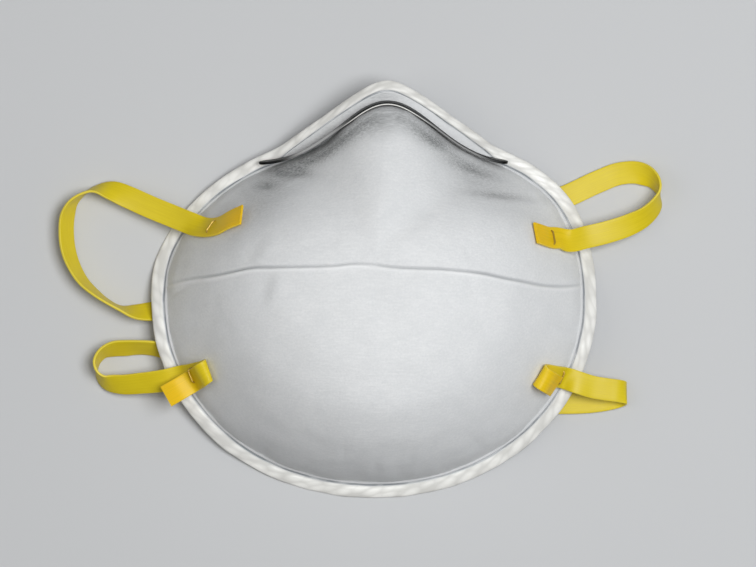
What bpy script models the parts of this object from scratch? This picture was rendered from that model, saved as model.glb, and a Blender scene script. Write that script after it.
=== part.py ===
"""Moulded cup face mask of thick non-woven cloth, lying on its rim with its nose towards +Y.

Metres, +Z up. The cup's hollow opens downwards onto the surface that it lies on. The pieces are the cup
with its welded edge, the nose clip, two elastic head straps and the four staples that hold them.
"""

import math
from collections import namedtuple

import bmesh
import bpy
import numpy as np
from mathutils import Vector

# Outline of the welded edge, seen from the front
HALF_WIDTH = 0.069
CUP_MIDDLE_Y = -0.002
CHIN_DROP = 0.0625
BROW_RISE = 0.0510
CHIN_SQUARENESS = 2.07
BROW_SQUARENESS = 2.20
NOSE_RISE = 0.0665
NOSE_SLOPE = 0.73
NOSE_ROUNDING = 0.006
NOSE_HALF_WIDTH = 0.040
CORNER_BLEND = 0.0012
NOSE_LEAN = 0.0042
LEAN_START_Y = 0.004
LEAN_END_Y = 0.044

# Welded edge and cup wall
FLANGE_WIDTH = 0.0040
FLANGE_THICKNESS = 0.0012
WELD_WIDTH = 0.0008
WELD_DEPTH = 0.00025
DOME_EDGE_GAP = 0.0004
CUP_WALL = 0.0020
CUP_DEPTH = 0.0480

# Cross crease over the middle of the cup
CREASE_TOP_Y = 0.0085
CREASE_DROOP = 0.0065
CREASE_BOW = 0.0012
CREASE_DEPTH = 0.0005
CREASE_WELT = 0.0003
CREASE_WIDTH = 0.0007
CREASE_WELT_WIDTH = 0.00105
CREASE_WELT_DROP = 0.0016
CREASE_FADE = 0.06
CREASE_BOW_SHARPNESS = 6

# Nose clip, bent over the bridge in the valley between the cup and the nose flap
CLIP_BASE_Y = 0.0386
CLIP_RISE = 0.0186
CLIP_BELL_WIDTH = 0.0200
CLIP_LEFT_REACH = 0.0395
CLIP_RIGHT_REACH = 0.0372
CLIP_WIDTH = 0.0050
CLIP_THICKNESS = 0.0008
CLIP_LEAN_DEG = 9.0
CLIP_SEAT_GAP = 0.0003
CLIP_TIP_WIDTH = 0.0010

# Elastic head straps
STRAP_WIDTH = 0.0070
STRAP_THICKNESS = 0.0008
STRAP_SEAT_GAP = 0.0003
STRAP_STATION_GAP = 0.0045
STRAP_MOST_STATIONS = 6

# Wire staples
STAPLE_WIRE = 0.0005
STAPLE_CROWN = 0.0044
STAPLE_CLINCH = 0.0016
STAPLE_GAP = 0.0003
HOLE_SIDES = 8

# Mesh fineness
SMOOTH_DEG = 40.0
SPOKES_ABOVE = 40
SPOKES_BELOW = 34
CREASE_SPOKES_DEG = (0.65, 2.0)
CLIP_STATIONS = 44
DOME_RINGS = (0.07, 0.15, 0.24, 0.33, 0.42, 0.51, 0.60, 0.69, 0.77, 0.84, 0.90, 0.945, 0.975, 1.0)
INNER_RINGS = (0.10, 0.24, 0.38, 0.51, 0.63, 0.74, 0.83, 0.90, 0.95, 0.985, 1.0)

# Rings of the welded edge from the weld to the outline: inset from the outline, then relief
EDGE_RINGS = (
    (FLANGE_WIDTH + WELD_WIDTH / 2.0, 0.0),
    (FLANGE_WIDTH, -WELD_DEPTH),
    (FLANGE_WIDTH - WELD_WIDTH / 2.0, 0.0),
    (0.0, 0.0),
)

# How closely a plan place is searched for on the cup
REACH_HALVINGS = 48
PLACE_ROUNDS = 12
FIRST_SHARE = 0.8
NORMAL_STEP = 0.004

# Sections of the cup, one row for each direction from the middle of the crease, in degrees above the mask's
# right-hand side. A row has the outer face's height at each station from the middle to the dome's foot, then
# the height of the edge's underside, all as shares of the cup's depth. An edge below zero is pressed flat by
# the surface that it lies on.
Section = namedtuple("Section", "direction middle quarter half shoulder side wall hem edge")
STATIONS = (0.0, 0.25, 0.50, 0.70, 0.84, 0.93, 0.975, 1.0)
SECTIONS = (
    Section(-90.0, 0.955, 1.000, 0.980, 0.860, 0.640, 0.400, 0.200, -0.004),
    Section(-62.0, 0.955, 0.993, 0.948, 0.795, 0.565, 0.345, 0.180, 0.012),
    Section(-40.0, 0.955, 0.975, 0.900, 0.720, 0.485, 0.300, 0.190, 0.080),
    Section(-18.0, 0.955, 0.947, 0.855, 0.670, 0.455, 0.300, 0.215, 0.135),
    Section(5.0, 0.955, 0.920, 0.806, 0.610, 0.395, 0.230, 0.120, -0.004),
    Section(19.0, 0.955, 0.909, 0.782, 0.588, 0.375, 0.222, 0.135, 0.036),
    Section(33.0, 0.955, 0.903, 0.766, 0.575, 0.380, 0.242, 0.163, 0.070),
    Section(47.0, 0.955, 0.899, 0.757, 0.578, 0.415, 0.303, 0.227, 0.115),
    Section(60.0, 0.955, 0.896, 0.763, 0.615, 0.488, 0.403, 0.332, 0.190),
    Section(75.0, 0.955, 0.895, 0.775, 0.658, 0.558, 0.487, 0.418, 0.265),
    Section(90.0, 0.955, 0.895, 0.780, 0.673, 0.582, 0.512, 0.447, 0.300),
)

# Where each strap is stapled to the cup: plan place of the staple, the plan direction in degrees in which
# the strap leaves it, and how many layers of strap the staple holds.
Staple = namedtuple("Staple", "x y leaves layers")
STAPLES = {
    "upper_left": Staple(-0.0493, 0.0189, 160.0, 1),
    "upper_right": Staple(0.0541, 0.0158, 350.0, 1),
    "lower_left": Staple(-0.0545, -0.0255, 187.0, 2),
    "lower_right": Staple(0.0568, -0.0266, 355.0, 1),
}

# Stapled end of each strap, from its cut tail to the staple, laid by hand. A row on the cup gives the plan
# place along the leaving strap and to its side, and the height off the cup, then the direction that the
# strap's outer face looks in, as parts along the strap, to its side and out of the cup. A free row gives a
# place and a direction as the free runs below do.
STRAP_ENDS = {
    "upper_left": (
        ("cup", -0.0084, -0.0061, 0.0020, 0.10, 0.32, 0.94),
        ("cup", -0.0050, -0.0035, 0.0016, 0.10, 0.22, 0.97),
        ("cup", -0.0022, -0.0012, 0.0010, 0.00, 0.08, 1.00),
        ("cup", 0.0000, 0.0000, 0.0007, 0.00, 0.00, 1.00),
        ("cup", 0.0034, 0.0013, 0.0013, 0.00, 0.00, 1.00),
    ),
    "upper_right": (
        ("cup", -0.0056, 0.0003, 0.0013, -0.10, 0.00, 0.98),
        ("cup", -0.0028, 0.0001, 0.0010, -0.05, 0.00, 1.00),
        ("cup", 0.0000, 0.0000, 0.0007, 0.00, 0.00, 1.00),
        ("cup", 0.0018, 0.0002, 0.0011, 0.00, 0.00, 1.00),
    ),
    "lower_left": (
        ("free", -0.0640, -0.0328, 0.0124, 0.25, 0.10, -0.96),
        ("free", -0.0602, -0.0306, 0.0133, 0.40, 0.18, -0.90),
        ("cup", 0.0005, 0.0018, 0.0020, 0.00, 0.00, -1.00),
        ("cup", -0.0022, 0.0007, 0.0026, 0.10, 0.00, -0.99),
        ("cup", -0.0037, 0.0000, 0.0035, 0.25, 0.00, -0.96),
        ("cup", -0.0047, -0.0006, 0.0032, 0.71, 0.00, -0.70),
        ("cup", -0.0051, -0.0008, 0.0021, 1.00, 0.00, 0.00),
        ("cup", -0.0046, -0.0008, 0.0011, 0.71, 0.00, 0.70),
        ("cup", -0.0036, -0.0005, 0.0008, 0.00, 0.00, 1.00),
        ("cup", 0.0000, 0.0000, 0.0007, 0.00, 0.00, 1.00),
        ("cup", 0.0014, 0.0001, 0.0010, 0.00, 0.00, 1.00),
    ),
    "lower_right": (
        ("cup", -0.0024, -0.0022, 0.0024, -0.20, 0.10, -0.97),
        ("cup", -0.0042, -0.0014, 0.0033, -0.20, 0.10, -0.97),
        ("cup", -0.0057, -0.0007, 0.0040, 0.00, 0.00, -1.00),
        ("cup", -0.0068, -0.0002, 0.0036, 0.68, -0.18, -0.71),
        ("cup", -0.0072, 0.0001, 0.0024, 0.97, -0.25, 0.00),
        ("cup", -0.0068, 0.0004, 0.0013, 0.68, -0.18, 0.71),
        ("cup", -0.0056, 0.0004, 0.0008, 0.00, 0.00, 1.00),
        ("cup", -0.0028, 0.0002, 0.0008, 0.00, 0.00, 1.00),
        ("cup", 0.0000, 0.0000, 0.0007, 0.00, 0.00, 1.00),
        ("cup", 0.0012, 0.0000, 0.0010, 0.00, 0.00, 1.00),
    ),
}

# Free run of each strap, from the left staple round under the cup to the right staple, laid by hand on the
# surface: place, then the direction that the strap's outer face looks in.
UPPER_RUN = (
    (-0.0575, 0.0209, 0.0094, -0.40, 0.12, 0.91),
    (-0.0622, 0.0228, 0.0074, -0.20, 0.05, 0.97),
    (-0.0700, 0.0260, 0.0058, -0.15, 0.10, 0.97),
    (-0.0765, 0.0289, 0.0050, -0.10, 0.25, 0.95),
    (-0.0814, 0.0308, 0.0045, -0.10, 0.60, 0.78),
    (-0.0868, 0.0312, 0.0041, -0.20, 0.93, 0.20),
    (-0.0910, 0.0292, 0.0039, -0.60, 0.75, -0.10),
    (-0.0934, 0.0269, 0.0037, -0.80, 0.50, -0.30),
    (-0.0949, 0.0235, 0.0034, -0.82, 0.15, -0.52),
    (-0.0954, 0.0180, 0.0033, -0.82, 0.00, -0.57),
    (-0.0947, 0.0121, 0.0033, -0.80, -0.20, -0.55),
    (-0.0928, 0.0070, 0.0034, -0.78, -0.40, -0.45),
    (-0.0902, 0.0028, 0.0036, -0.70, -0.60, -0.35),
    (-0.0863, -0.0009, 0.0038, -0.60, -0.75, -0.22),
    (-0.0829, -0.0034, 0.0039, -0.50, -0.85, -0.12),
    (-0.0786, -0.0057, 0.0038, -0.35, -0.92, -0.15),
    (-0.0739, -0.0068, 0.0034, -0.10, -0.80, -0.58),
    (-0.0693, -0.0067, 0.0027, 0.00, -0.60, -0.80),
    (-0.0650, -0.0062, 0.0021, 0.00, -0.42, -0.91),
    (-0.0590, -0.0050, 0.0012, 0.00, -0.15, -0.99),
    (-0.0400, 0.0005, 0.0008, 0.00, 0.00, -1.00),
    (0.0000, 0.0117, 0.0008, 0.00, 0.00, -1.00),
    (0.0400, 0.0230, 0.0008, 0.00, 0.00, -1.00),
    (0.0600, 0.0292, 0.0008, 0.00, 0.00, -1.00),
    (0.0700, 0.0338, 0.0008, 0.00, 0.00, -1.00),
    (0.0762, 0.0361, 0.0010, 0.00, 0.00, -1.00),
    (0.0826, 0.0362, 0.0020, 0.30, 0.15, -0.94),
    (0.0866, 0.0340, 0.0034, 0.65, 0.45, -0.60),
    (0.0883, 0.0305, 0.0044, 0.97, 0.15, -0.10),
    (0.0876, 0.0268, 0.0052, 0.80, -0.30, 0.50),
    (0.0845, 0.0232, 0.0060, 0.45, -0.45, 0.77),
    (0.0790, 0.0202, 0.0068, 0.20, -0.25, 0.95),
    (0.0725, 0.0180, 0.0076, 0.20, -0.10, 0.97),
    (0.0655, 0.0163, 0.0090, 0.25, 0.00, 0.96),
    (0.0600, 0.0152, 0.0118, 0.50, 0.05, 0.86),
)
LOWER_RUN = (
    (-0.0590, -0.0266, 0.0103, -0.35, -0.15, 0.92),
    (-0.0640, -0.0278, 0.0092, -0.15, -0.20, 0.97),
    (-0.0718, -0.0288, 0.0068, -0.20, -0.40, 0.89),
    (-0.0791, -0.0292, 0.0048, -0.20, -0.55, 0.80),
    (-0.0836, -0.0283, 0.0040, -0.60, -0.55, 0.45),
    (-0.0858, -0.0255, 0.0039, -0.95, -0.20, 0.10),
    (-0.0860, -0.0225, 0.0038, -0.93, 0.30, -0.20),
    (-0.0840, -0.0195, 0.0036, -0.55, 0.72, -0.42),
    (-0.0805, -0.0182, 0.0033, -0.15, 0.75, -0.64),
    (-0.0772, -0.0180, 0.0033, 0.00, 0.75, -0.66),
    (-0.0735, -0.0178, 0.0033, 0.05, 0.80, -0.60),
    (-0.0700, -0.0179, 0.0033, 0.05, 0.80, -0.60),
    (-0.0665, -0.0184, 0.0030, 0.05, 0.75, -0.65),
    (-0.0620, -0.0193, 0.0024, 0.00, 0.50, -0.87),
    (-0.0560, -0.0203, 0.0013, 0.00, 0.20, -0.98),
    (-0.0400, -0.0225, 0.0008, 0.00, 0.00, -1.00),
    (0.0000, -0.0285, 0.0008, 0.00, 0.00, -1.00),
    (0.0400, -0.0336, 0.0008, 0.00, 0.00, -1.00),
    (0.0600, -0.0350, 0.0008, 0.00, 0.00, -1.00),
    (0.0680, -0.0346, 0.0008, 0.00, 0.00, -1.00),
    (0.0730, -0.0338, 0.0009, 0.00, 0.00, -1.00),
    (0.0764, -0.0328, 0.0013, 0.40, 0.00, -0.92),
    (0.0780, -0.0320, 0.0028, 1.00, 0.00, 0.00),
    (0.0764, -0.0314, 0.0045, 0.45, 0.00, 0.89),
    (0.0730, -0.0309, 0.0056, 0.20, 0.00, 0.98),
    (0.0680, -0.0301, 0.0068, 0.20, 0.00, 0.98),
    (0.0625, -0.0284, 0.0084, 0.35, 0.00, 0.94),
)

COLOURS = {
    "cloth": ((0.86, 0.87, 0.87, 1.0), 0.85, 0.0),
    "elastic": ((0.85, 0.65, 0.04, 1.0), 0.50, 0.0),
    "clip": ((0.35, 0.35, 0.36, 1.0), 0.30, 1.0),
    "staple": ((0.60, 0.60, 0.62, 1.0), 0.30, 1.0),
}


def clear_scene():
    for thing in list(bpy.data.objects):
        bpy.data.objects.remove(thing)


def material(name):
    colour, roughness, metallic = COLOURS[name]
    made = bpy.data.materials.new(name)
    made.use_nodes = True
    shader = made.node_tree.nodes["Principled BSDF"]
    shader.inputs["Base Color"].default_value = colour
    shader.inputs["Roughness"].default_value = roughness
    shader.inputs["Metallic"].default_value = metallic
    return made


def smooth_step(value):
    share = min(1.0, max(0.0, value))
    return share * share * (3.0 - 2.0 * share)


def smooth_least(a, b, blend):
    """The smaller of two distances, with the corner between them rounded over."""
    share = max(0.0, blend - abs(a - b)) / blend
    return min(a, b) - share * share * blend / 4.0


def spline(points, knots, at):
    """A smooth curve through points of any dimension, at one knot value."""
    last = len(knots) - 1
    i = min(last - 1, max(0, int(np.searchsorted(knots, at, side="right")) - 1))
    span = knots[i + 1] - knots[i]
    share = (at - knots[i]) / span

    def slope(k):
        if k == 0 or k == last:
            step = 1 if k == 0 else -1
            return (points[k + step] - points[k]) / (knots[k + step] - knots[k])
        before = (points[k] - points[k - 1]) / (knots[k] - knots[k - 1])
        after = (points[k + 1] - points[k]) / (knots[k + 1] - knots[k])
        left, right = knots[k] - knots[k - 1], knots[k + 1] - knots[k]
        return (before * right + after * left) / (left + right)

    s2, s3 = share * share, share**3
    return (
        (2 * s3 - 3 * s2 + 1) * points[i]
        + (s3 - 2 * s2 + share) * span * slope(i)
        + (3 * s2 - 2 * s3) * points[i + 1]
        + (s3 - s2) * span * slope(i + 1)
    )


# Outline and sections of the cup


def outline_distance(x, y):
    """Signed distance in plan from the welded edge's outer outline, negative inside."""
    up = y - CUP_MIDDLE_Y
    reach, squareness = (BROW_RISE, BROW_SQUARENESS) if up > 0 else (CHIN_DROP, CHIN_SQUARENESS)
    ratio = (abs(x) / HALF_WIDTH) ** squareness + (abs(up) / reach) ** squareness
    body = math.hypot(x, up) * (1.0 - ratio ** (-1.0 / squareness))
    rounding = NOSE_SLOPE * NOSE_ROUNDING
    roof = up - NOSE_RISE - rounding + NOSE_SLOPE * math.hypot(x, NOSE_ROUNDING)
    nose = max(roof / math.hypot(1.0, NOSE_SLOPE), abs(x) - NOSE_HALF_WIDTH, -up)
    return smooth_least(body, nose, CORNER_BLEND)


def clip_line_y(x):
    """The valley that the nose clip lies in, as a bell curve over the bridge."""
    return CLIP_BASE_Y + CLIP_RISE * math.exp(-((x / CLIP_BELL_WIDTH) ** 2))


def clip_line_slope(x):
    return -2.0 * x / CLIP_BELL_WIDTH**2 * (clip_line_y(x) - CLIP_BASE_Y)


def dome_distance(x, y):
    """Signed distance in plan from the dome's foot: the weld line, and the clip's valley at the nose."""
    body = outline_distance(x, y) + FLANGE_WIDTH + WELD_WIDTH / 2.0 + DOME_EDGE_GAP
    valley = (y - clip_line_y(x)) / math.hypot(1.0, clip_line_slope(x))
    return -smooth_least(-body, -valley, CORNER_BLEND)


def reach_along(direction, distance, inset=0.0):
    """How far a ray from the middle of the crease runs before it meets a plan curve."""
    low, high = HALF_WIDTH / 8.0, 2.0 * HALF_WIDTH
    for _ in range(REACH_HALVINGS):
        middle = (low + high) / 2.0
        x = middle * math.cos(direction)
        y = CREASE_TOP_Y + middle * math.sin(direction)
        if distance(x, y) < -inset:
            low = middle
        else:
            high = middle
    return low


def mirrored(row):
    """The same section on the mask's other half."""
    return row._replace(direction=math.copysign(180.0, row.direction) - row.direction)


# The sections run on past chin and nose, so that the two halves meet there without a ridge
AROUND = (mirrored(SECTIONS[1]), *SECTIONS, mirrored(SECTIONS[-2]))
SECTION_KNOTS = np.array([row.direction for row in AROUND])
SECTION_SHARES = np.array([row[1:] for row in AROUND])
PROFILE_KNOTS = np.array((-STATIONS[1], *STATIONS))


def section_at(direction):
    """Height shares at the stations and at the rim, for one direction in radians."""
    across, along = abs(math.cos(direction)), math.sin(direction)
    shares = spline(SECTION_SHARES, SECTION_KNOTS, math.degrees(math.atan2(along, across)))
    return Section(direction, *shares)


def rim_height(direction):
    return max(0.0, section_at(direction).edge) * CUP_DEPTH


def crease_direction(side):
    """Direction of the crease's end on one side, +1 right or -1 left."""
    droop = math.atan2(CREASE_DROOP, HALF_WIDTH - FLANGE_WIDTH)
    return -droop if side > 0 else math.pi + droop


def crease_relief(direction, reach):
    """Groove and welt of the crease at one plan place."""
    side = 1.0 if math.cos(direction) >= 0 else -1.0
    across = reach * side * math.sin(direction - crease_direction(side))
    groove = CREASE_DEPTH * math.exp(-((across / CREASE_WIDTH) ** 2))
    welt = CREASE_WELT * math.exp(-(((across + CREASE_WELT_DROP) / CREASE_WELT_WIDTH) ** 2))
    return welt - groove


def plan_place(direction, reach, share):
    """Plan place of a point on a spoke, with the crease's bow and the nose's lean."""
    x = reach * math.cos(direction)
    rise = 4.0 * share * (1.0 - min(1.0, share))
    bow = CREASE_BOW * rise * math.cos(direction) ** CREASE_BOW_SHARPNESS
    y = CREASE_TOP_Y + reach * math.sin(direction) + bow
    lean = NOSE_LEAN * smooth_step((y - LEAN_START_Y) / (LEAN_END_Y - LEAN_START_Y))
    return x + lean, y


def profile_height(direction, share, foot_height):
    """Height of the cup's profile along one direction, ending at a given height at the dome's foot.

    The profile comes over from the far side of the middle, so that the crown is smooth there.
    """
    far_side = section_at(direction + math.pi).quarter
    section = section_at(direction)
    heights = np.array((far_side, *section[1:-1], foot_height / CUP_DEPTH))
    return float(spline(heights, PROFILE_KNOTS, share)) * CUP_DEPTH


def dome_point(direction, share, foot=None):
    """A point of the cup's outer face: share 0 is the middle of the crease and 1 the dome's foot."""
    foot = reach_along(direction, dome_distance) if foot is None else foot
    height = profile_height(direction, share, rim_height(direction) + FLANGE_THICKNESS)
    fade = smooth_step((1.0 - share) / CREASE_FADE)
    x, y = plan_place(direction, foot * share, share)
    return Vector((x, y, height + fade * crease_relief(direction, foot * share)))


def inner_point(direction, share, foot):
    """A point of the cup's inner face, one wall inside the outer face."""
    x, y = plan_place(direction, (foot - CUP_WALL) * share, share)
    height = profile_height(direction, share, rim_height(direction))
    return Vector((x, y, height - CUP_WALL * math.sqrt(1.0 - share**2)))


def dome_normal(direction, share):
    """Outward normal of the cup's outer face."""
    foot = reach_along(direction, dome_distance)
    inward = dome_point(direction, share - NORMAL_STEP, foot)
    outward = dome_point(direction, min(1.0, share + NORMAL_STEP), foot)
    around = dome_point(direction + NORMAL_STEP, share) - dome_point(direction - NORMAL_STEP, share)
    return (outward - inward).cross(around).normalized()


def dome_under(x, y):
    """Point and normal of the cup's outer face at one plan place."""
    direction, share = math.atan2(y - CREASE_TOP_Y, x), FIRST_SHARE
    for _ in range(PLACE_ROUNDS):
        foot = reach_along(direction, dome_distance)
        found = dome_point(direction, share, foot)
        miss_x, miss_y = x - found.x, y - found.y
        reach = foot * share
        share += (miss_x * math.cos(direction) + miss_y * math.sin(direction)) / foot
        direction += (miss_y * math.cos(direction) - miss_x * math.sin(direction)) / reach
    return dome_point(direction, share), dome_normal(direction, share)


# Meshes


def skin(bm, rings):
    """Quads between closed rings of vertices, all with the same count."""
    for inner, outer in zip(rings, rings[1:]):
        for i in range(len(inner)):
            j = (i + 1) % len(inner)
            bm.faces.new((inner[i], outer[i], outer[j], inner[j]))


def new_object(name, bm, colour):
    bmesh.ops.recalc_face_normals(bm, faces=bm.faces)
    mesh = bpy.data.meshes.new(name)
    bm.to_mesh(mesh)
    bm.free()
    mesh.shade_smooth()
    mesh.set_sharp_from_angle(angle=math.radians(SMOOTH_DEG))
    mesh.materials.append(MATERIALS[colour])
    made = bpy.data.objects.new(name, mesh)
    bpy.context.scene.collection.objects.link(made)
    return made


def spoke_directions():
    """Directions of the cup's spokes, with close pairs on both sides of the crease."""
    right, left = crease_direction(1), crease_direction(-1)
    found = []
    for start, end, count in ((right, left, SPOKES_ABOVE), (left, right + 2.0 * math.pi, SPOKES_BELOW)):
        close = [math.radians(offset) for offset in CREASE_SPOKES_DEG]
        first, last = start + 2.0 * close[-1], end - 2.0 * close[-1]
        found.append(start)
        found += [start + offset for offset in close]
        found += [first + (last - first) * i / count for i in range(count + 1)]
        found += [end - offset for offset in reversed(close)]
    return found


def cup():
    """The cup and its welded edge, one moulded wall of cloth."""
    directions = spoke_directions()
    feet = [reach_along(d, dome_distance) for d in directions]
    bm = bmesh.new()

    def edge_point(direction, inset, height):
        reach = reach_along(direction, outline_distance, inset)
        x, y = plan_place(direction, reach, 1.0)
        return Vector((x, y, rim_height(direction) + height))

    outer = []
    for share in DOME_RINGS:
        outer.append([bm.verts.new(dome_point(d, share, f)) for d, f in zip(directions, feet)])
    for inset, relief in EDGE_RINGS:
        height = FLANGE_THICKNESS + relief
        outer.append([bm.verts.new(edge_point(d, inset, height)) for d in directions])
    inner = []
    for share in INNER_RINGS:
        inner.append([bm.verts.new(inner_point(d, share, f)) for d, f in zip(directions, feet)])
    inner.append([bm.verts.new(edge_point(d, 0.0, 0.0)) for d in directions])
    top = Vector((plan_place(0.0, 0.0, 0.0)[0], CREASE_TOP_Y, 0.0))
    top_height = SECTIONS[0].middle * CUP_DEPTH
    outer_pole = bm.verts.new(top + Vector((0.0, 0.0, top_height - CREASE_DEPTH)))
    inner_pole = bm.verts.new(top + Vector((0.0, 0.0, top_height - CUP_WALL)))
    count = len(directions)
    for pole, ring in ((outer_pole, outer[0]), (inner_pole, inner[0])):
        for i in range(count):
            bm.faces.new((pole, ring[i], ring[(i + 1) % count]))
    skin(bm, outer)
    skin(bm, inner)
    skin(bm, [outer[-1], inner[-1]])
    return new_object("cup", bm, "cloth")


def sweep(name, stations, width, thickness, colour, widths=None):
    """A flat band along stations of (place, outer face's direction), with square ends."""
    places = [place for place, _ in stations]
    bm = bmesh.new()
    rings = []
    for i, (place, face) in enumerate(stations):
        ahead = (places[min(i + 1, len(places) - 1)] - places[max(i - 1, 0)]).normalized()
        face = (face - ahead * face.dot(ahead)).normalized()
        side = face.cross(ahead)
        half = (widths[i] if widths else width) / 2.0
        rise = face * thickness / 2.0
        corners = (side * half + rise, rise - side * half, -rise - side * half, side * half - rise)
        rings.append([bm.verts.new(place + corner) for corner in corners])
    skin(bm, rings)
    bm.faces.new(rings[0])
    bm.faces.new(reversed(rings[-1]))
    return new_object(name, bm, colour)


def clip_stations():
    """Places and face directions along the nose clip, seated against the foot of the dome."""
    lean = math.radians(CLIP_LEAN_DEG)
    middle = (CLIP_RIGHT_REACH - CLIP_LEFT_REACH) / 2.0
    half_span = (CLIP_RIGHT_REACH + CLIP_LEFT_REACH) / 2.0
    stations, widths = [], []
    for i in range(CLIP_STATIONS + 1):
        share = -math.cos(math.pi * i / CLIP_STATIONS)
        x = middle + half_span * share
        y = clip_line_y(x)
        outward = Vector((-clip_line_slope(x), 1.0, 0.0)).normalized()
        direction = math.atan2(y - CREASE_TOP_Y, x)
        foot = rim_height(direction) + FLANGE_THICKNESS
        face = outward * math.cos(lean) + Vector((0.0, 0.0, 1.0)) * math.sin(lean)
        up = Vector((0.0, 0.0, 1.0)) * math.cos(lean) - outward * math.sin(lean)
        seat = CLIP_SEAT_GAP + CLIP_THICKNESS / 2.0
        place = Vector((x, y, foot + CLIP_SEAT_GAP)) + up * CLIP_WIDTH / 2.0 + outward * seat
        place.x += NOSE_LEAN * smooth_step((place.y - LEAN_START_Y) / (LEAN_END_Y - LEAN_START_Y))
        stations.append((place, face))
        half = CLIP_WIDTH / 2.0
        from_tip = min(half, (1.0 - abs(share)) * half_span)
        rounded = 2.0 * math.sqrt(half**2 - (half - from_tip) ** 2)
        widths.append(max(CLIP_TIP_WIDTH, rounded))
    return stations, widths


def frame_on_cup(x, y, leaves):
    """The cup's point under a plan place, and its frame: along a direction, to its side, out of the cup."""
    point, normal = dome_under(x, y)
    flat = Vector((math.cos(math.radians(leaves)), math.sin(math.radians(leaves)), 0.0))
    along = (flat - Vector((0.0, 0.0, flat.dot(normal) / normal.z))).normalized()
    return point, along, normal.cross(along), normal


def staple_seat(name):
    seat = STAPLES[name]
    return frame_on_cup(seat.x, seat.y, seat.leaves)


def crown_height(name):
    return STAPLES[name].layers * (STRAP_SEAT_GAP + STRAP_THICKNESS) + STAPLE_GAP + STAPLE_WIRE / 2.0


def strap_end(name):
    """Stations of one stapled strap end, from the cut tail to where the strap leaves the staple."""
    seat = STAPLES[name]
    across, along = math.sin(math.radians(seat.leaves)), math.cos(math.radians(seat.leaves))
    stations = []
    for kind, first, second, third, *parts in STRAP_ENDS[name]:
        if kind == "free":
            stations.append((Vector((first, second, third)), Vector(parts).normalized()))
            continue
        place = (seat.x + first * along - second * across, seat.y + first * across + second * along)
        point, *frame = frame_on_cup(*place, seat.leaves)
        face = sum((axis * part for axis, part in zip(frame, parts)), Vector((0.0, 0.0, 0.0)))
        stations.append((point + frame[-1] * third, face.normalized()))
    return stations


def densify(stations):
    """The same stations with more between them, on a smooth curve."""
    places = np.array([list(place) for place, _ in stations])
    faces = np.array([list(face) for _, face in stations])
    gaps = np.linalg.norm(np.diff(places, axis=0), axis=1)
    knots = np.concatenate([[0.0], np.cumsum(gaps)])
    found = []
    for i, gap in enumerate(gaps):
        pieces = min(STRAP_MOST_STATIONS, math.ceil(gap / STRAP_STATION_GAP))
        for k in range(pieces):
            at = knots[i] + gap * k / pieces
            found.append((Vector(spline(places, knots, at)), Vector(spline(faces, knots, at)).normalized()))
    found.append(stations[-1])
    return found


def strap(name, left, run, right):
    free = [(Vector(row[:3]), Vector(row[3:]).normalized()) for row in run]
    stations = strap_end(left) + free + list(reversed(strap_end(right)))
    return sweep(name, densify(stations), STRAP_WIDTH, STRAP_THICKNESS, "elastic")


def staple_points(name):
    """The bent wire: clinched end, leg, crown, leg and clinched end."""
    point, _, across, normal = staple_seat(name)
    half = STAPLE_CROWN / 2.0
    crown = crown_height(name)
    foot = -(CUP_WALL + STAPLE_GAP + STAPLE_WIRE / 2.0)
    bend = STAPLE_WIRE
    side = [
        (half - STAPLE_CLINCH, foot),
        (half - bend, foot),
        (half, foot + bend),
        (half, crown - bend),
        (half - bend, crown),
    ]
    both = side + [(-reach, height) for reach, height in reversed(side)]
    return [point + across * reach + normal * height for reach, height in both]


def staple(name):
    curve = bpy.data.curves.new("staple_" + name, "CURVE")
    curve.dimensions = "3D"
    curve.bevel_depth = STAPLE_WIRE / 2.0
    curve.bevel_resolution = 1
    curve.use_fill_caps = True
    points = staple_points(name)
    line = curve.splines.new("POLY")
    line.points.add(len(points) - 1)
    for slot, point in zip(line.points, points):
        slot.co = (*point, 1.0)
    curve.materials.append(MATERIALS["staple"])
    made = bpy.data.objects.new("staple_" + name, curve)
    bpy.context.scene.collection.objects.link(made)
    return made


def leg_cutter():
    """One mesh of the pricked holes that the staples' legs pass through."""
    radius = STAPLE_WIRE / 2.0 + STAPLE_GAP
    bm = bmesh.new()
    for name in STAPLES:
        point, _, across, normal = staple_seat(name)
        low = -(CUP_WALL + STAPLE_GAP + STAPLE_WIRE)
        high = crown_height(name) + STAPLE_WIRE
        for side in (-1.0, 1.0):
            middle = point + across * side * STAPLE_CROWN / 2.0 + normal * (low + high) / 2.0
            turn = normal.to_track_quat("Z", "Y").to_matrix().to_4x4()
            turn.translation = middle
            bmesh.ops.create_cone(
                bm,
                cap_ends=True,
                segments=HOLE_SIDES,
                radius1=radius,
                radius2=radius,
                depth=high - low,
                matrix=turn,
            )
    made = new_object("leg_holes", bm, "cloth")
    made.hide_render = True
    made.display_type = "WIRE"
    return made


def drill(target, cutter):
    cut = target.modifiers.new("leg_holes", "BOOLEAN")
    cut.operation = "DIFFERENCE"
    cut.object = cutter


clear_scene()
MATERIALS = {name: material(name) for name in COLOURS}
CUP = cup()
CLIP_PLACES, CLIP_WIDTHS = clip_stations()
sweep("nose_clip", CLIP_PLACES, CLIP_WIDTH, CLIP_THICKNESS, "clip", CLIP_WIDTHS)
UPPER_STRAP = strap("upper_head_strap", "upper_left", UPPER_RUN, "upper_right")
LOWER_STRAP = strap("lower_head_strap", "lower_left", LOWER_RUN, "lower_right")
for seat in STAPLES:
    staple(seat)
HOLES = leg_cutter()
for pierced in (CUP, UPPER_STRAP, LOWER_STRAP):
    drill(pierced, HOLES)
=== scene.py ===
"""Looks of a moulded cup face mask: white non-woven cup, bent nose clip and two yellow elastic head straps.

Metres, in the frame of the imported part: +Z up from the surface that the mask lies on, +Y towards the nose.
"""

import math
from collections import namedtuple

import bmesh
import bpy
import numpy as np
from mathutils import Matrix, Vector, noise


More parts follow.
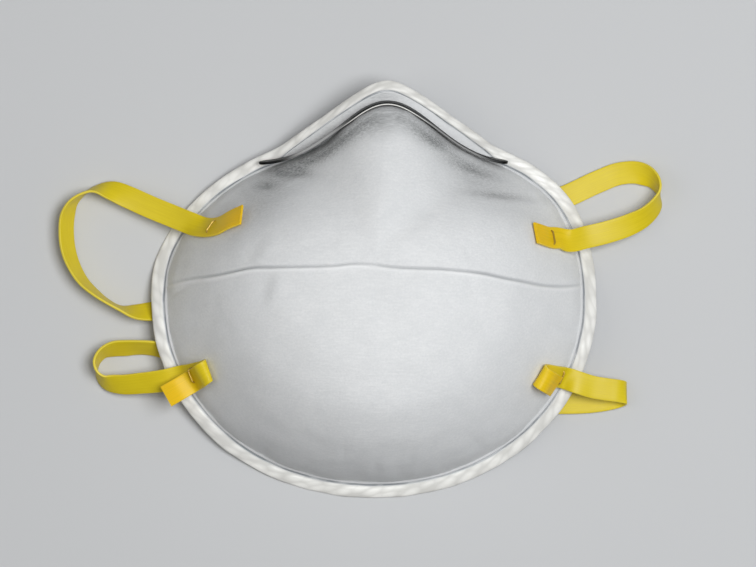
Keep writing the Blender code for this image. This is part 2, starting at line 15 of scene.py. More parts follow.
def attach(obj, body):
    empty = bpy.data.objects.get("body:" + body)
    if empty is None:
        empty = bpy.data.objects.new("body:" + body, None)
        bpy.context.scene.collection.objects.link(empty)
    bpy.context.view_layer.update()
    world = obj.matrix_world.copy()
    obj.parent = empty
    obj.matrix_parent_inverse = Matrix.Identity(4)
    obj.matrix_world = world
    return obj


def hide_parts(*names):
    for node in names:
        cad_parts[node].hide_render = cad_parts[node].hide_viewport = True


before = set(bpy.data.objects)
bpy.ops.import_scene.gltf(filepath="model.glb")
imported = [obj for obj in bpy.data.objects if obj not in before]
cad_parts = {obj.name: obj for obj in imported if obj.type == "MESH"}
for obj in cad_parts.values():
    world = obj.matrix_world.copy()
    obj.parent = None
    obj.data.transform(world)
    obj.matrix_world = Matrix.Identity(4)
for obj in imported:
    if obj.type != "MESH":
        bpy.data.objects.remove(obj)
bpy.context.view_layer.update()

# The cup: a dome of thick white non-woven cloth, moulded hot between two tools, with a cross crease over
# its middle. Its edge is welded flat all round, with one pressed weld line, and reaches up over the bridge
# of the nose as a flap. The cloth is matted fibre, compressed to a gloss in the welded edge.
HALF_WIDTH = 0.069
CUP_MIDDLE_Y = -0.002
CHIN_DROP = 0.0625
BROW_RISE = 0.0510
CHIN_SQUARENESS = 2.07
BROW_SQUARENESS = 2.20
NOSE_RISE = 0.0665
NOSE_SLOPE = 0.73
NOSE_ROUNDING = 0.006
NOSE_HALF_WIDTH = 0.040
CORNER_BLEND = 0.0012
NOSE_LEAN = 0.0042
LEAN_START_Y = 0.004
LEAN_END_Y = 0.044
CREASE_TOP_Y = 0.0085
CREASE_BOW = 0.0012
CREASE_BOW_SHARPNESS = 6

FLANGE_WIDTH = 0.0040
FLANGE_THICKNESS = 0.0012
WELD_WIDTH = 0.0008
DOME_EDGE_GAP = 0.0004
CUP_WALL = 0.0020
CUP_DEPTH = 0.0480
CLIP_BASE_Y = 0.0386
CLIP_RISE = 0.0186
CLIP_BELL_WIDTH = 0.0200

# Sections of the cup, one row for each direction from the middle of the crease, in degrees above the mask's
# right-hand side: the outer face's height at each station from the middle to the dome's foot, then the
# height of the edge's underside, all as shares of the cup's depth
Section = namedtuple("Section", "direction middle quarter half shoulder side wall hem edge")
STATIONS = (0.0, 0.25, 0.50, 0.70, 0.84, 0.93, 0.975, 1.0)
SECTIONS = (
    Section(-90.0, 0.955, 1.000, 0.980, 0.860, 0.640, 0.400, 0.200, -0.004),
    Section(-62.0, 0.955, 0.993, 0.948, 0.795, 0.565, 0.345, 0.180, 0.012),
    Section(-40.0, 0.955, 0.975, 0.900, 0.720, 0.485, 0.300, 0.190, 0.080),
    Section(-18.0, 0.955, 0.947, 0.855, 0.670, 0.455, 0.300, 0.215, 0.135),
    Section(5.0, 0.955, 0.920, 0.806, 0.610, 0.395, 0.230, 0.120, -0.004),
    Section(19.0, 0.955, 0.909, 0.782, 0.588, 0.375, 0.222, 0.135, 0.036),
    Section(33.0, 0.955, 0.903, 0.766, 0.575, 0.380, 0.242, 0.163, 0.070),
    Section(47.0, 0.955, 0.899, 0.757, 0.578, 0.415, 0.303, 0.227, 0.115),
    Section(60.0, 0.955, 0.896, 0.763, 0.615, 0.488, 0.403, 0.332, 0.190),
    Section(75.0, 0.955, 0.895, 0.775, 0.658, 0.558, 0.487, 0.418, 0.265),
    Section(90.0, 0.955, 0.895, 0.780, 0.673, 0.582, 0.512, 0.447, 0.300),
)


def smooth_step(value):
    share = np.clip(value, 0.0, 1.0)
    return share * share * (3.0 - 2.0 * share)


def smooth_least(a, b, blend):
    """The smaller of two distances, with the corner between them rounded over."""
    share = max(0.0, blend - abs(a - b)) / blend
    return min(a, b) - share * share * blend / 4.0


def spline(points, knots, at):
    """A smooth curve through points of any dimension, at one knot value."""
    last = len(knots) - 1
    i = min(last - 1, max(0, int(np.searchsorted(knots, at, side="right")) - 1))
    span = knots[i + 1] - knots[i]
    share = (at - knots[i]) / span

    def slope(k):
        if k == 0 or k == last:
            step = 1 if k == 0 else -1
            return (points[k + step] - points[k]) / (knots[k + step] - knots[k])
        before = (points[k] - points[k - 1]) / (knots[k] - knots[k - 1])
        after = (points[k + 1] - points[k]) / (knots[k + 1] - knots[k])
        left, right = knots[k] - knots[k - 1], knots[k + 1] - knots[k]
        return (before * right + after * left) / (left + right)

    s2, s3 = share * share, share**3
    return (
        (2 * s3 - 3 * s2 + 1) * points[i]
        + (s3 - 2 * s2 + share) * span * slope(i)
        + (3 * s2 - 2 * s3) * points[i + 1]
        + (s3 - s2) * span * slope(i + 1)
    )


def outline_distance(x, y):
    """Signed distance in plan from the welded edge's outer outline, negative inside."""
    up = y - CUP_MIDDLE_Y
    reach, squareness = (BROW_RISE, BROW_SQUARENESS) if up > 0 else (CHIN_DROP, CHIN_SQUARENESS)
    ratio = (abs(x) / HALF_WIDTH) ** squareness + (abs(up) / reach) ** squareness
    body = math.hypot(x, up) * (1.0 - ratio ** (-1.0 / squareness))
    rounding = NOSE_SLOPE * NOSE_ROUNDING
    roof = up - NOSE_RISE - rounding + NOSE_SLOPE * math.hypot(x, NOSE_ROUNDING)
    nose = max(roof / math.hypot(1.0, NOSE_SLOPE), abs(x) - NOSE_HALF_WIDTH, -up)
    return smooth_least(body, nose, CORNER_BLEND)


def clip_line_y(x):
    """The valley that the nose clip lies in, as a bell curve over the bridge."""
    return CLIP_BASE_Y + CLIP_RISE * math.exp(-((x / CLIP_BELL_WIDTH) ** 2))


def clip_line_slope(x):
    return -2.0 * x / CLIP_BELL_WIDTH**2 * (clip_line_y(x) - CLIP_BASE_Y)


def dome_distance(x, y):
    """Signed distance in plan from the dome's foot: the weld line, and the clip's valley at the nose."""
    body = outline_distance(x, y) + FLANGE_WIDTH + WELD_WIDTH / 2.0 + DOME_EDGE_GAP
    valley = (y - clip_line_y(x)) / math.hypot(1.0, clip_line_slope(x))
    return -smooth_least(-body, -valley, CORNER_BLEND)


# The nearest and furthest that a plan curve can be from the middle of the crease, and how often that range
# is halved
REACH_RANGE = (HALF_WIDTH / 8.0, HALF_WIDTH * 2.0)
REACH_HALVINGS = 40


def reach_along(direction, distance, inset=0.0):
    """How far a ray from the middle of the crease runs before it meets a plan curve."""
    low, high = REACH_RANGE
    for _ in range(REACH_HALVINGS):
        middle = (low + high) / 2.0
        x = middle * math.cos(direction)
        y = CREASE_TOP_Y + middle * math.sin(direction)
        if distance(x, y) < -inset:
            low = middle
        else:
            high = middle
    return low


def mirrored(row):
    """The same section on the mask's other half."""
    return row._replace(direction=math.copysign(180.0, row.direction) - row.direction)


AROUND = (mirrored(SECTIONS[1]), *SECTIONS, mirrored(SECTIONS[-2]))
SECTION_KNOTS = np.array([row.direction for row in AROUND])
SECTION_SHARES = np.array([row[1:] for row in AROUND])
PROFILE_KNOTS = np.array((-STATIONS[1], *STATIONS))


def section_at(direction):
    """Height shares at the stations and at the rim, for one direction in radians."""
    across, along = abs(math.cos(direction)), math.sin(direction)
    shares = spline(SECTION_SHARES, SECTION_KNOTS, math.degrees(math.atan2(along, across)))
    return Section(direction, *shares)


def rim_height(direction):
    return max(0.0, section_at(direction).edge) * CUP_DEPTH


def nose_lean(y):
    """How far the cup leans to the right at one place between its middle and its nose."""
    return NOSE_LEAN * smooth_step((y - LEAN_START_Y) / (LEAN_END_Y - LEAN_START_Y))


def plan_place(direction, reach, share):
    """Plan place of a point on a spoke, with the crease's bow and the nose's lean."""
    x = reach * math.cos(direction)
    rise = 4.0 * share * (1.0 - min(1.0, share))
    y = CREASE_TOP_Y + reach * math.sin(direction)
    y += CREASE_BOW * rise * math.cos(direction) ** CREASE_BOW_SHARPNESS
    return x + nose_lean(y), y


# The welded edge narrows along the nose flap: directions in degrees between which it does, over how many
# degrees it changes, and how much of its width it keeps
NOSE_EDGE = (41.0, 139.0)
NOSE_EDGE_BLEND = 9.0
NOSE_EDGE_SHARE = 0.66


class Spoke:
    """One direction from the middle of the crease, with the cup's profile along it."""

    def __init__(self, direction):
        self.direction = direction
        self.foot = reach_along(direction, dome_distance)
        self.rim = rim_height(direction)
        far_side = section_at(direction + math.pi).quarter
        self.shares = (far_side, *section_at(direction)[1:-1])
        turn = math.degrees(direction)
        inside = min(turn - NOSE_EDGE[0], NOSE_EDGE[1] - turn) / NOSE_EDGE_BLEND
        self.edge_share = 1.0 + (NOSE_EDGE_SHARE - 1.0) * smooth_step(inside)

    def height(self, share, foot_height):
        heights = np.array((*self.shares, foot_height / CUP_DEPTH))
        return float(spline(heights, PROFILE_KNOTS, share)) * CUP_DEPTH

    def outer(self, share):
        """A point of the cup's outer face: share 0 is the middle of the crease and 1 the dome's foot."""
        x, y = plan_place(self.direction, self.foot * share, share)
        return Vector((x, y, self.height(share, self.rim + FLANGE_THICKNESS)))

    def inner(self, share):
        """A point of the cup's inner face, one wall inside the outer face."""
        x, y = plan_place(self.direction, (self.foot - CUP_WALL) * share, share)
        return Vector((x, y, self.height(share, self.rim) - CUP_WALL * math.sqrt(1.0 - share**2)))

    def flange(self, inset, height):
        """A point over the welded edge, at an inset from the outline and a height over its underside."""
        reach = reach_along(self.direction, outline_distance, inset * self.edge_share)
        x, y = plan_place(self.direction, reach, 1.0)
        return Vector((x, y, self.rim + height))

    def edge_start(self):
        """The inner end of the welded edge's upper face."""
        return self.flange(EDGE_ROWS[0][0] * FLANGE_WIDTH, FLANGE_THICKNESS)


# Directions of the spokes in degrees, closer together beside the crease. They start under the upper right
# strap, which covers the place where the edge's pressed pattern meets itself.
SPOKE_STEPS = (
    (6.0, 178.0, 1.0), (178.0, 193.0, 0.3), (193.0, 347.0, 1.0), (347.0, 362.0, 0.3), (362.0, 366.0, 1.0),
)
DOME_ROWS = 84
HEM_ROWS = 16
HEM_START = 0.90
FLAP_ROWS = (0.12, 0.28, 0.44, 0.60, 0.76, 0.90)
FLAP_PILLOW = 0.05
UNDER_ROWS = (0.15, 0.50, 0.85)
INNER_ROWS = 30

# The welded edge across its width, as inset from the outline and height over its underside, both as shares
# of the flange's width and thickness
EDGE_ROWS = (
    (1.100, 1.00), (1.070, 0.99), (1.045, 0.90), (1.020, 0.74), (1.000, 0.68), (0.980, 0.74), (0.955, 0.90),
    (0.920, 1.05), (0.860, 1.15), (0.760, 1.21), (0.640, 1.21), (0.520, 1.17), (0.400, 1.10), (0.280, 1.01),
    (0.180, 0.91), (0.100, 0.80), (0.045, 0.69), (0.012, 0.55), (0.000, 0.40), (0.000, 0.22), (0.030, 0.00),
)

# Crease over the cup, from left to right: the groove's depth and the ridge's height just below it
Crease = namedtuple("Crease", "x y groove ridge")
CREASE_LINE = (
    Crease(-0.0660, 0.0008, 0.00005, 0.00010),
    Crease(-0.0605, 0.0028, 0.00015, 0.00022),
    Crease(-0.0555, 0.0037, 0.00030, 0.00026),
    Crease(-0.0498, 0.0044, 0.00045, 0.00032),
    Crease(-0.0433, 0.0057, 0.00050, 0.00036),
    Crease(-0.0380, 0.0068, 0.00055, 0.00036),
    Crease(-0.0302, 0.0071, 0.00042, 0.00032),
    Crease(-0.0205, 0.0073, 0.00036, 0.00030),
    Crease(-0.0120, 0.0076, 0.00030, 0.00030),
    Crease(-0.0060, 0.0082, 0.00026, 0.00028),
    Crease(-0.0010, 0.0080, 0.00030, 0.00024),
    Crease(0.0040, 0.0073, 0.00036, 0.00020),
    Crease(0.0217, 0.0064, 0.00042, 0.00020),
    Crease(0.0275, 0.0059, 0.00040, 0.00032),
    Crease(0.0336, 0.0051, 0.00055, 0.00022),
    Crease(0.0390, 0.0039, 0.00055, 0.00018),
    Crease(0.0454, 0.0027, 0.00048, 0.00016),
    Crease(0.0520, 0.0015, 0.00042, 0.00018),
    Crease(0.0590, 0.0012, 0.00034, 0.00022),
    Crease(0.0660, 0.0020, 0.00008, 0.00010),
)
CREASE_WIDTH = 0.00042
RIDGE_DROP = 0.00105
RIDGE_WIDTH = 0.00060

# Soft folds and dents of the cup: plan place of the middle, turn of its long side in degrees, half lengths
# along and across, and rise, negative into the cloth
Mark = namedtuple("Mark", "x y turn length width amount")
DENTS = (
    Mark(-0.0333, 0.0005, 74.0, 0.0052, 0.0022, -0.00026),
    Mark(-0.0292, 0.0010, 74.0, 0.0046, 0.0022, 0.00018),
    Mark(-0.0372, 0.0112, 47.0, 0.0055, 0.0026, -0.00030),
    Mark(-0.0325, 0.0124, 47.0, 0.0055, 0.0024, 0.00022),
    Mark(-0.0183, 0.0037, 88.0, 0.0032, 0.0018, -0.00012),
    Mark(0.0302, -0.0004, 109.0, 0.0046, 0.0018, -0.00030),
    Mark(0.0270, 0.0014, 105.0, 0.0042, 0.0018, 0.00026),
    Mark(0.0293, 0.0110, 129.0, 0.0046, 0.0020, -0.00026),
    Mark(0.0253, 0.0122, 129.0, 0.0042, 0.0020, 0.00020),
    Mark(-0.0600, -0.0002, 27.0, 0.0046, 0.0007, -0.00028),
    Mark(-0.0606, 0.0012, 27.0, 0.0040, 0.0007, 0.00020),
    Mark(0.0610, 0.0032, 16.0, 0.0036, 0.0006, 0.00026),
    Mark(-0.0262, 0.0362, -8.0, 0.0050, 0.0010, -0.00040),
    Mark(-0.0240, 0.0338, 20.0, 0.0040, 0.0009, 0.00024),
    Mark(-0.0333, 0.0322, 4.0, 0.0030, 0.0012, -0.00034),
    Mark(0.0308, 0.0372, -20.0, 0.0058, 0.0012, -0.00040),
    Mark(0.0330, 0.0348, -18.0, 0.0050, 0.0011, 0.00022),
    Mark(0.0395, 0.0290, -5.0, 0.0085, 0.0011, -0.00042),
    Mark(0.0400, 0.0270, -5.0, 0.0080, 0.0014, 0.00020),
    Mark(-0.0125, 0.0462, 24.0, 0.0070, 0.0014, -0.00036),
    Mark(0.0195, 0.0452, -30.0, 0.0052, 0.0014, -0.00036),
    Mark(-0.0515, -0.0392, 38.0, 0.0030, 0.0012, -0.00046),
    Mark(-0.0336, -0.0498, 58.0, 0.0030, 0.0013, -0.00050),
    Mark(-0.0092, -0.0515, 88.0, 0.0044, 0.0008, -0.00034),
    Mark(0.0006, -0.0540, 92.0, 0.0030, 0.0008, -0.00032),
    Mark(0.0112, -0.0525, 84.0, 0.0042, 0.0009, -0.00034),
    Mark(0.0330, -0.0480, -42.0, 0.0040, 0.0012, -0.00036),
)

# Grey patches on the dome beside the clip and the nose, darkening the cloth there; the broad soft ones
# beside the nose and on the cheeks are painted shade, where the slopes turn from the light. The last value
# is how grey each is
GREY_PATCHES_AND_SHADE = (
    Mark(0.0012, 0.0520, 0.0, 0.0075, 0.0046, 0.62),
    Mark(0.0134, 0.0500, -36.0, 0.0095, 0.0034, 0.58),
    Mark(-0.0110, 0.0462, 28.0, 0.0100, 0.0032, 0.95),
    Mark(-0.0185, 0.0415, 22.0, 0.0085, 0.0028, 0.70),
    Mark(-0.0258, 0.0363, -7.0, 0.0066, 0.0018, 0.75),
    Mark(-0.0335, 0.0321, 0.0, 0.0032, 0.0014, 0.50),
    Mark(-0.0270, 0.0372, 22.0, 0.0120, 0.0050, 0.34),
    Mark(-0.0340, 0.0285, 30.0, 0.0135, 0.0075, 0.36),
    Mark(0.0195, 0.0455, -25.0, 0.0060, 0.0022, 0.52),
    Mark(0.0305, 0.0374, -18.0, 0.0080, 0.0022, 0.50),
    Mark(0.0394, 0.0290, -5.0, 0.0095, 0.0012, 0.40),
    Mark(0.0345, 0.0315, -24.0, 0.0150, 0.0080, 0.32),
    Mark(0.0245, 0.0410, -38.0, 0.0120, 0.0042, 0.26),
    Mark(0.0030, 0.0606, 0.0, 0.0085, 0.0030, 0.42),
    Mark(-0.0150, 0.0525, 33.0, 0.0120, 0.0026, 0.24),
    Mark(0.0505, 0.0215, -20.0, 0.0070, 0.0030, 0.12),
    Mark(-0.0430, 0.0170, 30.0, 0.0130, 0.0060, 0.14),
)

# Unevenness of the moulded cloth: size of the lumps and their height
LUMPS = ((0.0110, 0.00016), (0.0045, 0.00006), (0.0020, 0.00002))

# Waver of the edge's outline: its length, its height, how far in from the rim it fades away, and where its
# noise is read, away from the lumps. The weld line drifts with it and is softly pressed.
EDGE_WAVE_LENGTH = 0.0065
EDGE_WAVE = 0.00016
EDGE_WAVE_REACH = FLANGE_WIDTH * 0.6
EDGE_WAVE_START = Vector((7.0, 3.0, 0.0))
WELD_DRIFT = 0.00025
WELD_SOFTNESS = 0.00029

# Insets from the outline: where the edge ends, and the one that every ring past it is given. Then how wide
# the shelf between the edge and the dome's foot is where the painted shade laid on it has mostly gone.
EDGE_LIMIT = FLANGE_WIDTH * 1.5
PAST_EDGE = FLANGE_WIDTH * 2.0
FOOT_SHELF = 0.0014

# Puckers that run in from the weld line: how wide they are, how far they reach in and how high they stand
PUCKER_LENGTH = 0.0052
PUCKER_REACH = 0.0042
PUCKER_RISE = 0.00060

# Vertices nearer than this are one
MERGE = 1e-7


def spread(marks, x, y):
    """Summed amounts of soft oval marks at arrays of plan places."""
    total = np.zeros_like(x)
    for mark in marks:
        turn = math.radians(mark.turn)
        along = (x - mark.x) * math.cos(turn) + (y - mark.y) * math.sin(turn)
        across = (y - mark.y) * math.cos(turn) - (x - mark.x) * math.sin(turn)
        total += mark.amount * np.exp(-((along / mark.length) ** 2) - (across / mark.width) ** 2)
    return total


def crease_parts(x, y):
    """Groove and ridge of the crease at arrays of plan places."""
    line = np.array(CREASE_LINE)
    rows = np.array([spline(line[:, 1:], line[:, 0], at) for at in np.clip(x, line[0, 0], line[-1, 0])])
    across = y - rows[:, 0]
    groove = rows[:, 1] * np.exp(-((across / CREASE_WIDTH) ** 2))
    ridge = rows[:, 2] * np.exp(-(((across + RIDGE_DROP) / RIDGE_WIDTH) ** 2))
    return groove, ridge


def lay_out(rows, columns, place, run):
    """A unit grid of rows by columns, with its vertices moved to their places and its map set from run."""
    bm = bmesh.new()
    uv = bm.loops.layers.uv.new("run")
    bmesh.ops.create_grid(bm, x_segments=columns - 1, y_segments=rows - 1, size=0.5, calc_uvs=True)
    for vert in bm.verts:
        row, column = round((vert.co.y + 0.5) * (rows - 1)), round((vert.co.x + 0.5) * (columns - 1))
        vert.co = place(row, column)
    for face in bm.faces:
        for loop in face.loops:
            share = loop[uv].uv
            loop[uv].uv = run(round(share.y * (rows - 1)), round(share.x * (columns - 1)))
    return bm


def run_lengths(places):
    """How far each place lies along the line through them all."""
    return np.concatenate([[0.0], np.cumsum([(b - a).length for a, b in zip(places, places[1:])])])


def put(name, data):
    """A new object in the scene."""
    made = bpy.data.objects.new(name, data)
    bpy.context.scene.collection.objects.link(made)
    return made


def new_mesh(name, bm, finish):
    mesh = bpy.data.meshes.new(name)
    bm.to_mesh(mesh)
    bm.free()
    mesh.materials.append(finish)
    return mesh


def new_piece(name, bm, finish, sharp_deg=50.0):
    """Turns a bmesh into a shaded object that rides on the part and takes one material slot."""
    mesh = new_mesh(name, bm, finish)
    mesh.shade_smooth()
    mesh.set_sharp_from_angle(angle=math.radians(sharp_deg))
    piece = put(name, mesh)
    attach(piece, "root")
    return piece


def cup_rows():
    """The cup's rings as kind, share or inset, and height, from the outer face's top to the inner face's."""
    dome = [HEM_START * i / DOME_ROWS for i in range(DOME_ROWS)]
    hem = [HEM_START + (1.0 - HEM_START) * i / HEM_ROWS for i in range(HEM_ROWS + 1)]
    rows = [("dome", share, 0.0) for share in dome + hem]
    rows += [("flap", share, 0.0) for share in FLAP_ROWS]
    rows += [("edge", inset * FLANGE_WIDTH, height * FLANGE_THICKNESS) for inset, height in EDGE_ROWS]
    rows += [("under", share, 0.0) for share in UNDER_ROWS]
    rows += [("inner", 1.0 - i / INNER_ROWS, 0.0) for i in range(INNER_ROWS + 1)]
    return rows


def cup_point(spoke, kind, share, height):
    if kind == "dome":
        return spoke.outer(share)
    if kind == "inner":
        return spoke.inner(share)
    if kind == "edge":
        return spoke.flange(share, height)
    if kind == "flap":
        start, end = spoke.outer(1.0), spoke.edge_start()
        pillow = FLAP_PILLOW * (end - start).length * math.sin(math.pi * share)
        return start.lerp(end, share) + Vector((0.0, 0.0, pillow))
    return spoke.flange(EDGE_ROWS[-1][0] * FLANGE_WIDTH, 0.0).lerp(spoke.inner(1.0), share)


def build_cup():
    """The cup's fine mesh, with its relief, and the masks that its cloth reads."""
    turns = [turn for start, end, step in SPOKE_STEPS for turn in np.arange(start, end - step / 2.0, step)]
    spokes = [Spoke(math.radians(turn)) for turn in turns]
    rows = cup_rows()
    columns = len(spokes) + 1
    points = [[cup_point(spoke, *row) for spoke in spokes] for row in rows]
    outline = [spoke.flange(0.0, 0.0) for spoke in spokes]
    along = run_lengths([*outline, outline[0]])
    in_from_edge = [share if kind == "edge" else PAST_EDGE for kind, share, _ in rows]
    in_from_foot = [HALF_WIDTH * (1.0 - share if kind == "dome" else 1.0) for kind, share, _ in rows]
    shelves = [(spoke.outer(1.0) - spoke.edge_start()).length for spoke in spokes]

    bm = lay_out(
        len(rows),
        columns,
        lambda row, column: points[row][column % len(spokes)],
        lambda row, column: (along[column], in_from_edge[row]),
    )
    inset = bm.verts.layers.float.new("inset")
    outside = bm.verts.layers.float.new("outside")
    pucker = bm.verts.layers.float.new("pucker")
    foot = bm.verts.layers.float.new("foot")
    bm.verts.ensure_lookup_table()
    for i, vert in enumerate(bm.verts):
        row, column = divmod(i, columns)
        vert[inset] = in_from_edge[row]
        vert[outside] = 1.0 if rows[row][0] in ("dome", "flap", "edge") else 0.0
        inwards = in_from_foot[row] / PUCKER_REACH
        ripple = noise.noise(outline[column % len(spokes)] / PUCKER_LENGTH)
        vert[pucker] = PUCKER_RISE * ripple * 4.0 * inwards * math.exp(-2.0 * inwards)
        # Painted shade on the flat shelf at the dome's foot, which faces up and catches more light than the
        # wall
        on_shelf = rows[row][0] == "flap" or FLANGE_WIDTH < in_from_edge[row] < EDGE_LIMIT
        vert[foot] = float(on_shelf) * math.exp(-((shelves[column % len(spokes)] / FOOT_SHELF) ** 2))
    bmesh.ops.remove_doubles(bm, verts=bm.verts, dist=MERGE)
    bmesh.ops.recalc_face_normals(bm, faces=bm.faces)
    bm.normal_update()

    places = np.array([vert.co for vert in bm.verts])
    normals = np.array([vert.normal for vert in bm.verts])
    insets, outer, puckers = (
        np.array([vert[layer] for vert in bm.verts]) for layer in (inset, outside, pucker)
    )

    # Relief along the normals and waver of the rim outwards; nothing goes below the surface that it lies on
    x, y = places[:, 0], places[:, 1]
    on_dome = outer * (insets > FLANGE_WIDTH * EDGE_ROWS[0][0])
    on_edge = insets < EDGE_LIMIT
    groove, ridge = crease_parts(x, y)
    rise = on_dome * (ridge - groove + puckers + spread(DENTS, x, y))
    for size, height in LUMPS:
        rise += outer * height * np.array([noise.noise(vert.co / size) for vert in bm.verts])
    wave = np.array([noise.noise(vert.co / EDGE_WAVE_LENGTH + EDGE_WAVE_START) for vert in bm.verts])
    outward = places - np.array((0.0, CUP_MIDDLE_Y, 0.0))
    outward[:, 2] = 0.0
    outward /= np.linalg.norm(outward, axis=1)[:, None] + MERGE
    near_rim = on_edge * smooth_step((EDGE_WAVE_REACH - insets) / EDGE_WAVE_REACH)
    moved = places + normals * rise[:, None] + outward * (near_rim * wave * EDGE_WAVE)[:, None]
    moved[:, 2] = np.maximum(moved[:, 2], 0.0)
    for vert, place in zip(bm.verts, moved):
        vert.co = place

    # Masks that the cloth reads: the weld line, the pressed edge, painted shade in the crease's groove, a
    # painted highlight on the ridge below it, and grey patches with painted shade beside the nose
    masks = {
        "weld": outer * np.exp(-(((insets + WELD_DRIFT * wave - FLANGE_WIDTH) / WELD_SOFTNESS) ** 2)),
        "pressed": outer * on_edge * smooth_step((FLANGE_WIDTH - insets) / WELD_WIDTH),
        "crease_shade": on_dome * groove / max(row.groove for row in CREASE_LINE),
        "welt_highlight": on_dome * ridge / max(row.ridge for row in CREASE_LINE),
        "grey_patches_and_shade": on_dome * np.clip(spread(GREY_PATCHES_AND_SHADE, x, y), 0.0, 1.0),
    }
    for name, values in masks.items():
        layer = bm.verts.layers.float.new(name)
        for vert, value in zip(bm.verts, values):
            vert[layer] = float(value)
    for name in ("inset", "outside", "pucker"):
        bm.verts.layers.float.remove(bm.verts.layers.float[name])
    return bm


class Nodes:
    """A node tree that is wired by name, one node a call."""

    def __init__(self, tree):
        self.tree = tree

    def feed(self, node, inputs):
        """Links each named input to another node's output, or sets its value."""
        for name, value in inputs.items():
            socket = node.inputs[name]
            if isinstance(value, bpy.types.NodeSocket):
                self.tree.links.new(value, socket)
            else:
                socket.default_value = value

    def add(self, kind, inputs=None, **settings):
        made = self.tree.nodes.new(kind)
        for name, value in settings.items():
            setattr(made, name, value)
        self.feed(made, inputs or {})
        return made

    def math(self, operation, *values, clamp=False):
        inputs = dict(enumerate(values))
        return self.add("ShaderNodeMath", inputs, operation=operation, use_clamp=clamp).outputs[0]

    def times(self, first, second):
        return self.math("MULTIPLY", first, second)

    def noise(self, vector, scale=1.0, detail=2.0, roughness=0.5):
        inputs = {"Vector": vector, "Scale": scale, "Detail": detail, "Roughness": roughness}
        return self.add("ShaderNodeTexNoise", inputs).outputs["Fac"]

    def mix(self, share, first, second):
        inputs = {0: share, 6: first, 7: second}
        return self.add("ShaderNodeMix", inputs, data_type="RGBA").outputs[2]

    def mix_values(self, share, first, second):
        inputs = {"Factor": share, "A": first, "B": second}
        return self.add("ShaderNodeMix", inputs, data_type="FLOAT").outputs["Result"]

    def span(self, value, low, high, to_low=0.0, to_high=1.0):
        inputs = {"Value": value, "From Min": low, "From Max": high, "To Min": to_low, "To Max": to_high}
        return self.add("ShaderNodeMapRange", inputs).outputs["Result"]

    def attribute(self, name):
        return self.add("ShaderNodeAttribute", attribute_name=name).outputs["Fac"]

    def place(self):
        return self.add("ShaderNodeTexCoord").outputs["Object"]

    def run(self):
        """The map of a piece that follows its length and its width, in metres."""
        return self.add("ShaderNodeUVMap", uv_map="run").outputs["UV"]

    def mapped(self, vector, size, turn_deg=0.0):
        """A vector turned about Z and counted in steps of one size."""
        inputs = {"Vector": vector, "Rotation": (0.0, 0.0, math.radians(turn_deg)), "Scale": size}
        return self.add("ShaderNodeMapping", inputs, vector_type="TEXTURE").outputs["Vector"]

    def bump(self, height, strength, distance):
        inputs = {"Height": height, "Strength": strength, "Distance": distance}
        return self.add("ShaderNodeBump", inputs).outputs["Normal"]


class Finish(Nodes):
    """The node tree of a new material."""

    def __init__(self, name):
        self.material = bpy.data.materials.new(name)
        self.material.use_nodes = True
        super().__init__(self.material.node_tree)

    def shade(self, inputs):
        """Feeds the shader and hands over the finished material."""
        self.feed(self.tree.nodes["Principled BSDF"], inputs)
        return self.material


# Lays of fibres: turn in degrees, length and width of a strand. A noise is given by its scale, detail and
# roughness.
FIBRE_LAYS = (
    (4.0, 0.0042, 0.00022),
    (38.0, 0.0030, 0.00020),
    (88.0, 0.0026, 0.00022),
    (141.0, 0.0028, 0.00019),
    (174.0, 0.0050, 0.00026),
)
FIBRE_THINNESS = 0.050
FIBRE_NOISE = (1.0, 2.0, 0.55)
MOTTLE_NOISE = (1.0 / 0.0007, 3.0, 0.6)
CLOUD_SIZE = 0.0070
CLOUD_SHARE = 0.35


def matted_fibres():
    """Node group: fibres that cross each other every way, as a height and a faint shade."""
    group = bpy.data.node_groups.new("matted_fibres", "ShaderNodeTree")
    group.interface.new_socket("Vector", in_out="INPUT", socket_type="NodeSocketVector")
    group.interface.new_socket("Height", in_out="OUTPUT", socket_type="NodeSocketFloat")
    group.interface.new_socket("Shade", in_out="OUTPUT", socket_type="NodeSocketFloat")
    nodes = Nodes(group)
    vector = nodes.add("NodeGroupInput").outputs["Vector"]
    height = None
    for turn_deg, length, width in FIBRE_LAYS:
        strand = nodes.noise(nodes.mapped(vector, (length, width, width), turn_deg), *FIBRE_NOISE)
        from_middle = nodes.math("ABSOLUTE", nodes.math("SUBTRACT", strand, 0.5))
        ridge = nodes.span(from_middle, 0.0, FIBRE_THINNESS, 1.0, 0.0)
        height = ridge if height is None else nodes.math("MAXIMUM", height, ridge)
    mottle = nodes.noise(vector, *MOTTLE_NOISE)
    clouds = nodes.noise(vector, 1.0 / CLOUD_SIZE)
    nodes.add("NodeGroupOutput", {"Height": height, "Shade": nodes.mix_values(CLOUD_SHARE, mottle, clouds)})
    return group


FIBRES = matted_fibres()

CLOTH_WHITE = (0.81, 0.815, 0.815, 1.0)
CLOTH_HOLLOW = (0.715, 0.725, 0.73, 1.0)
# Painted shade for the shelf at the dome's foot
CLOTH_FOOT_SHADE = (0.62, 0.625, 0.63, 1.0)
EDGE_CREAM = (0.84, 0.83, 0.79, 1.0)
EDGE_SHADE = (0.52, 0.51, 0.48, 1.0)
WELD_GREY = (0.22, 0.24, 0.26, 1.0)
PATCH_AND_SHADE_GREY = (0.19, 0.195, 0.195, 1.0)
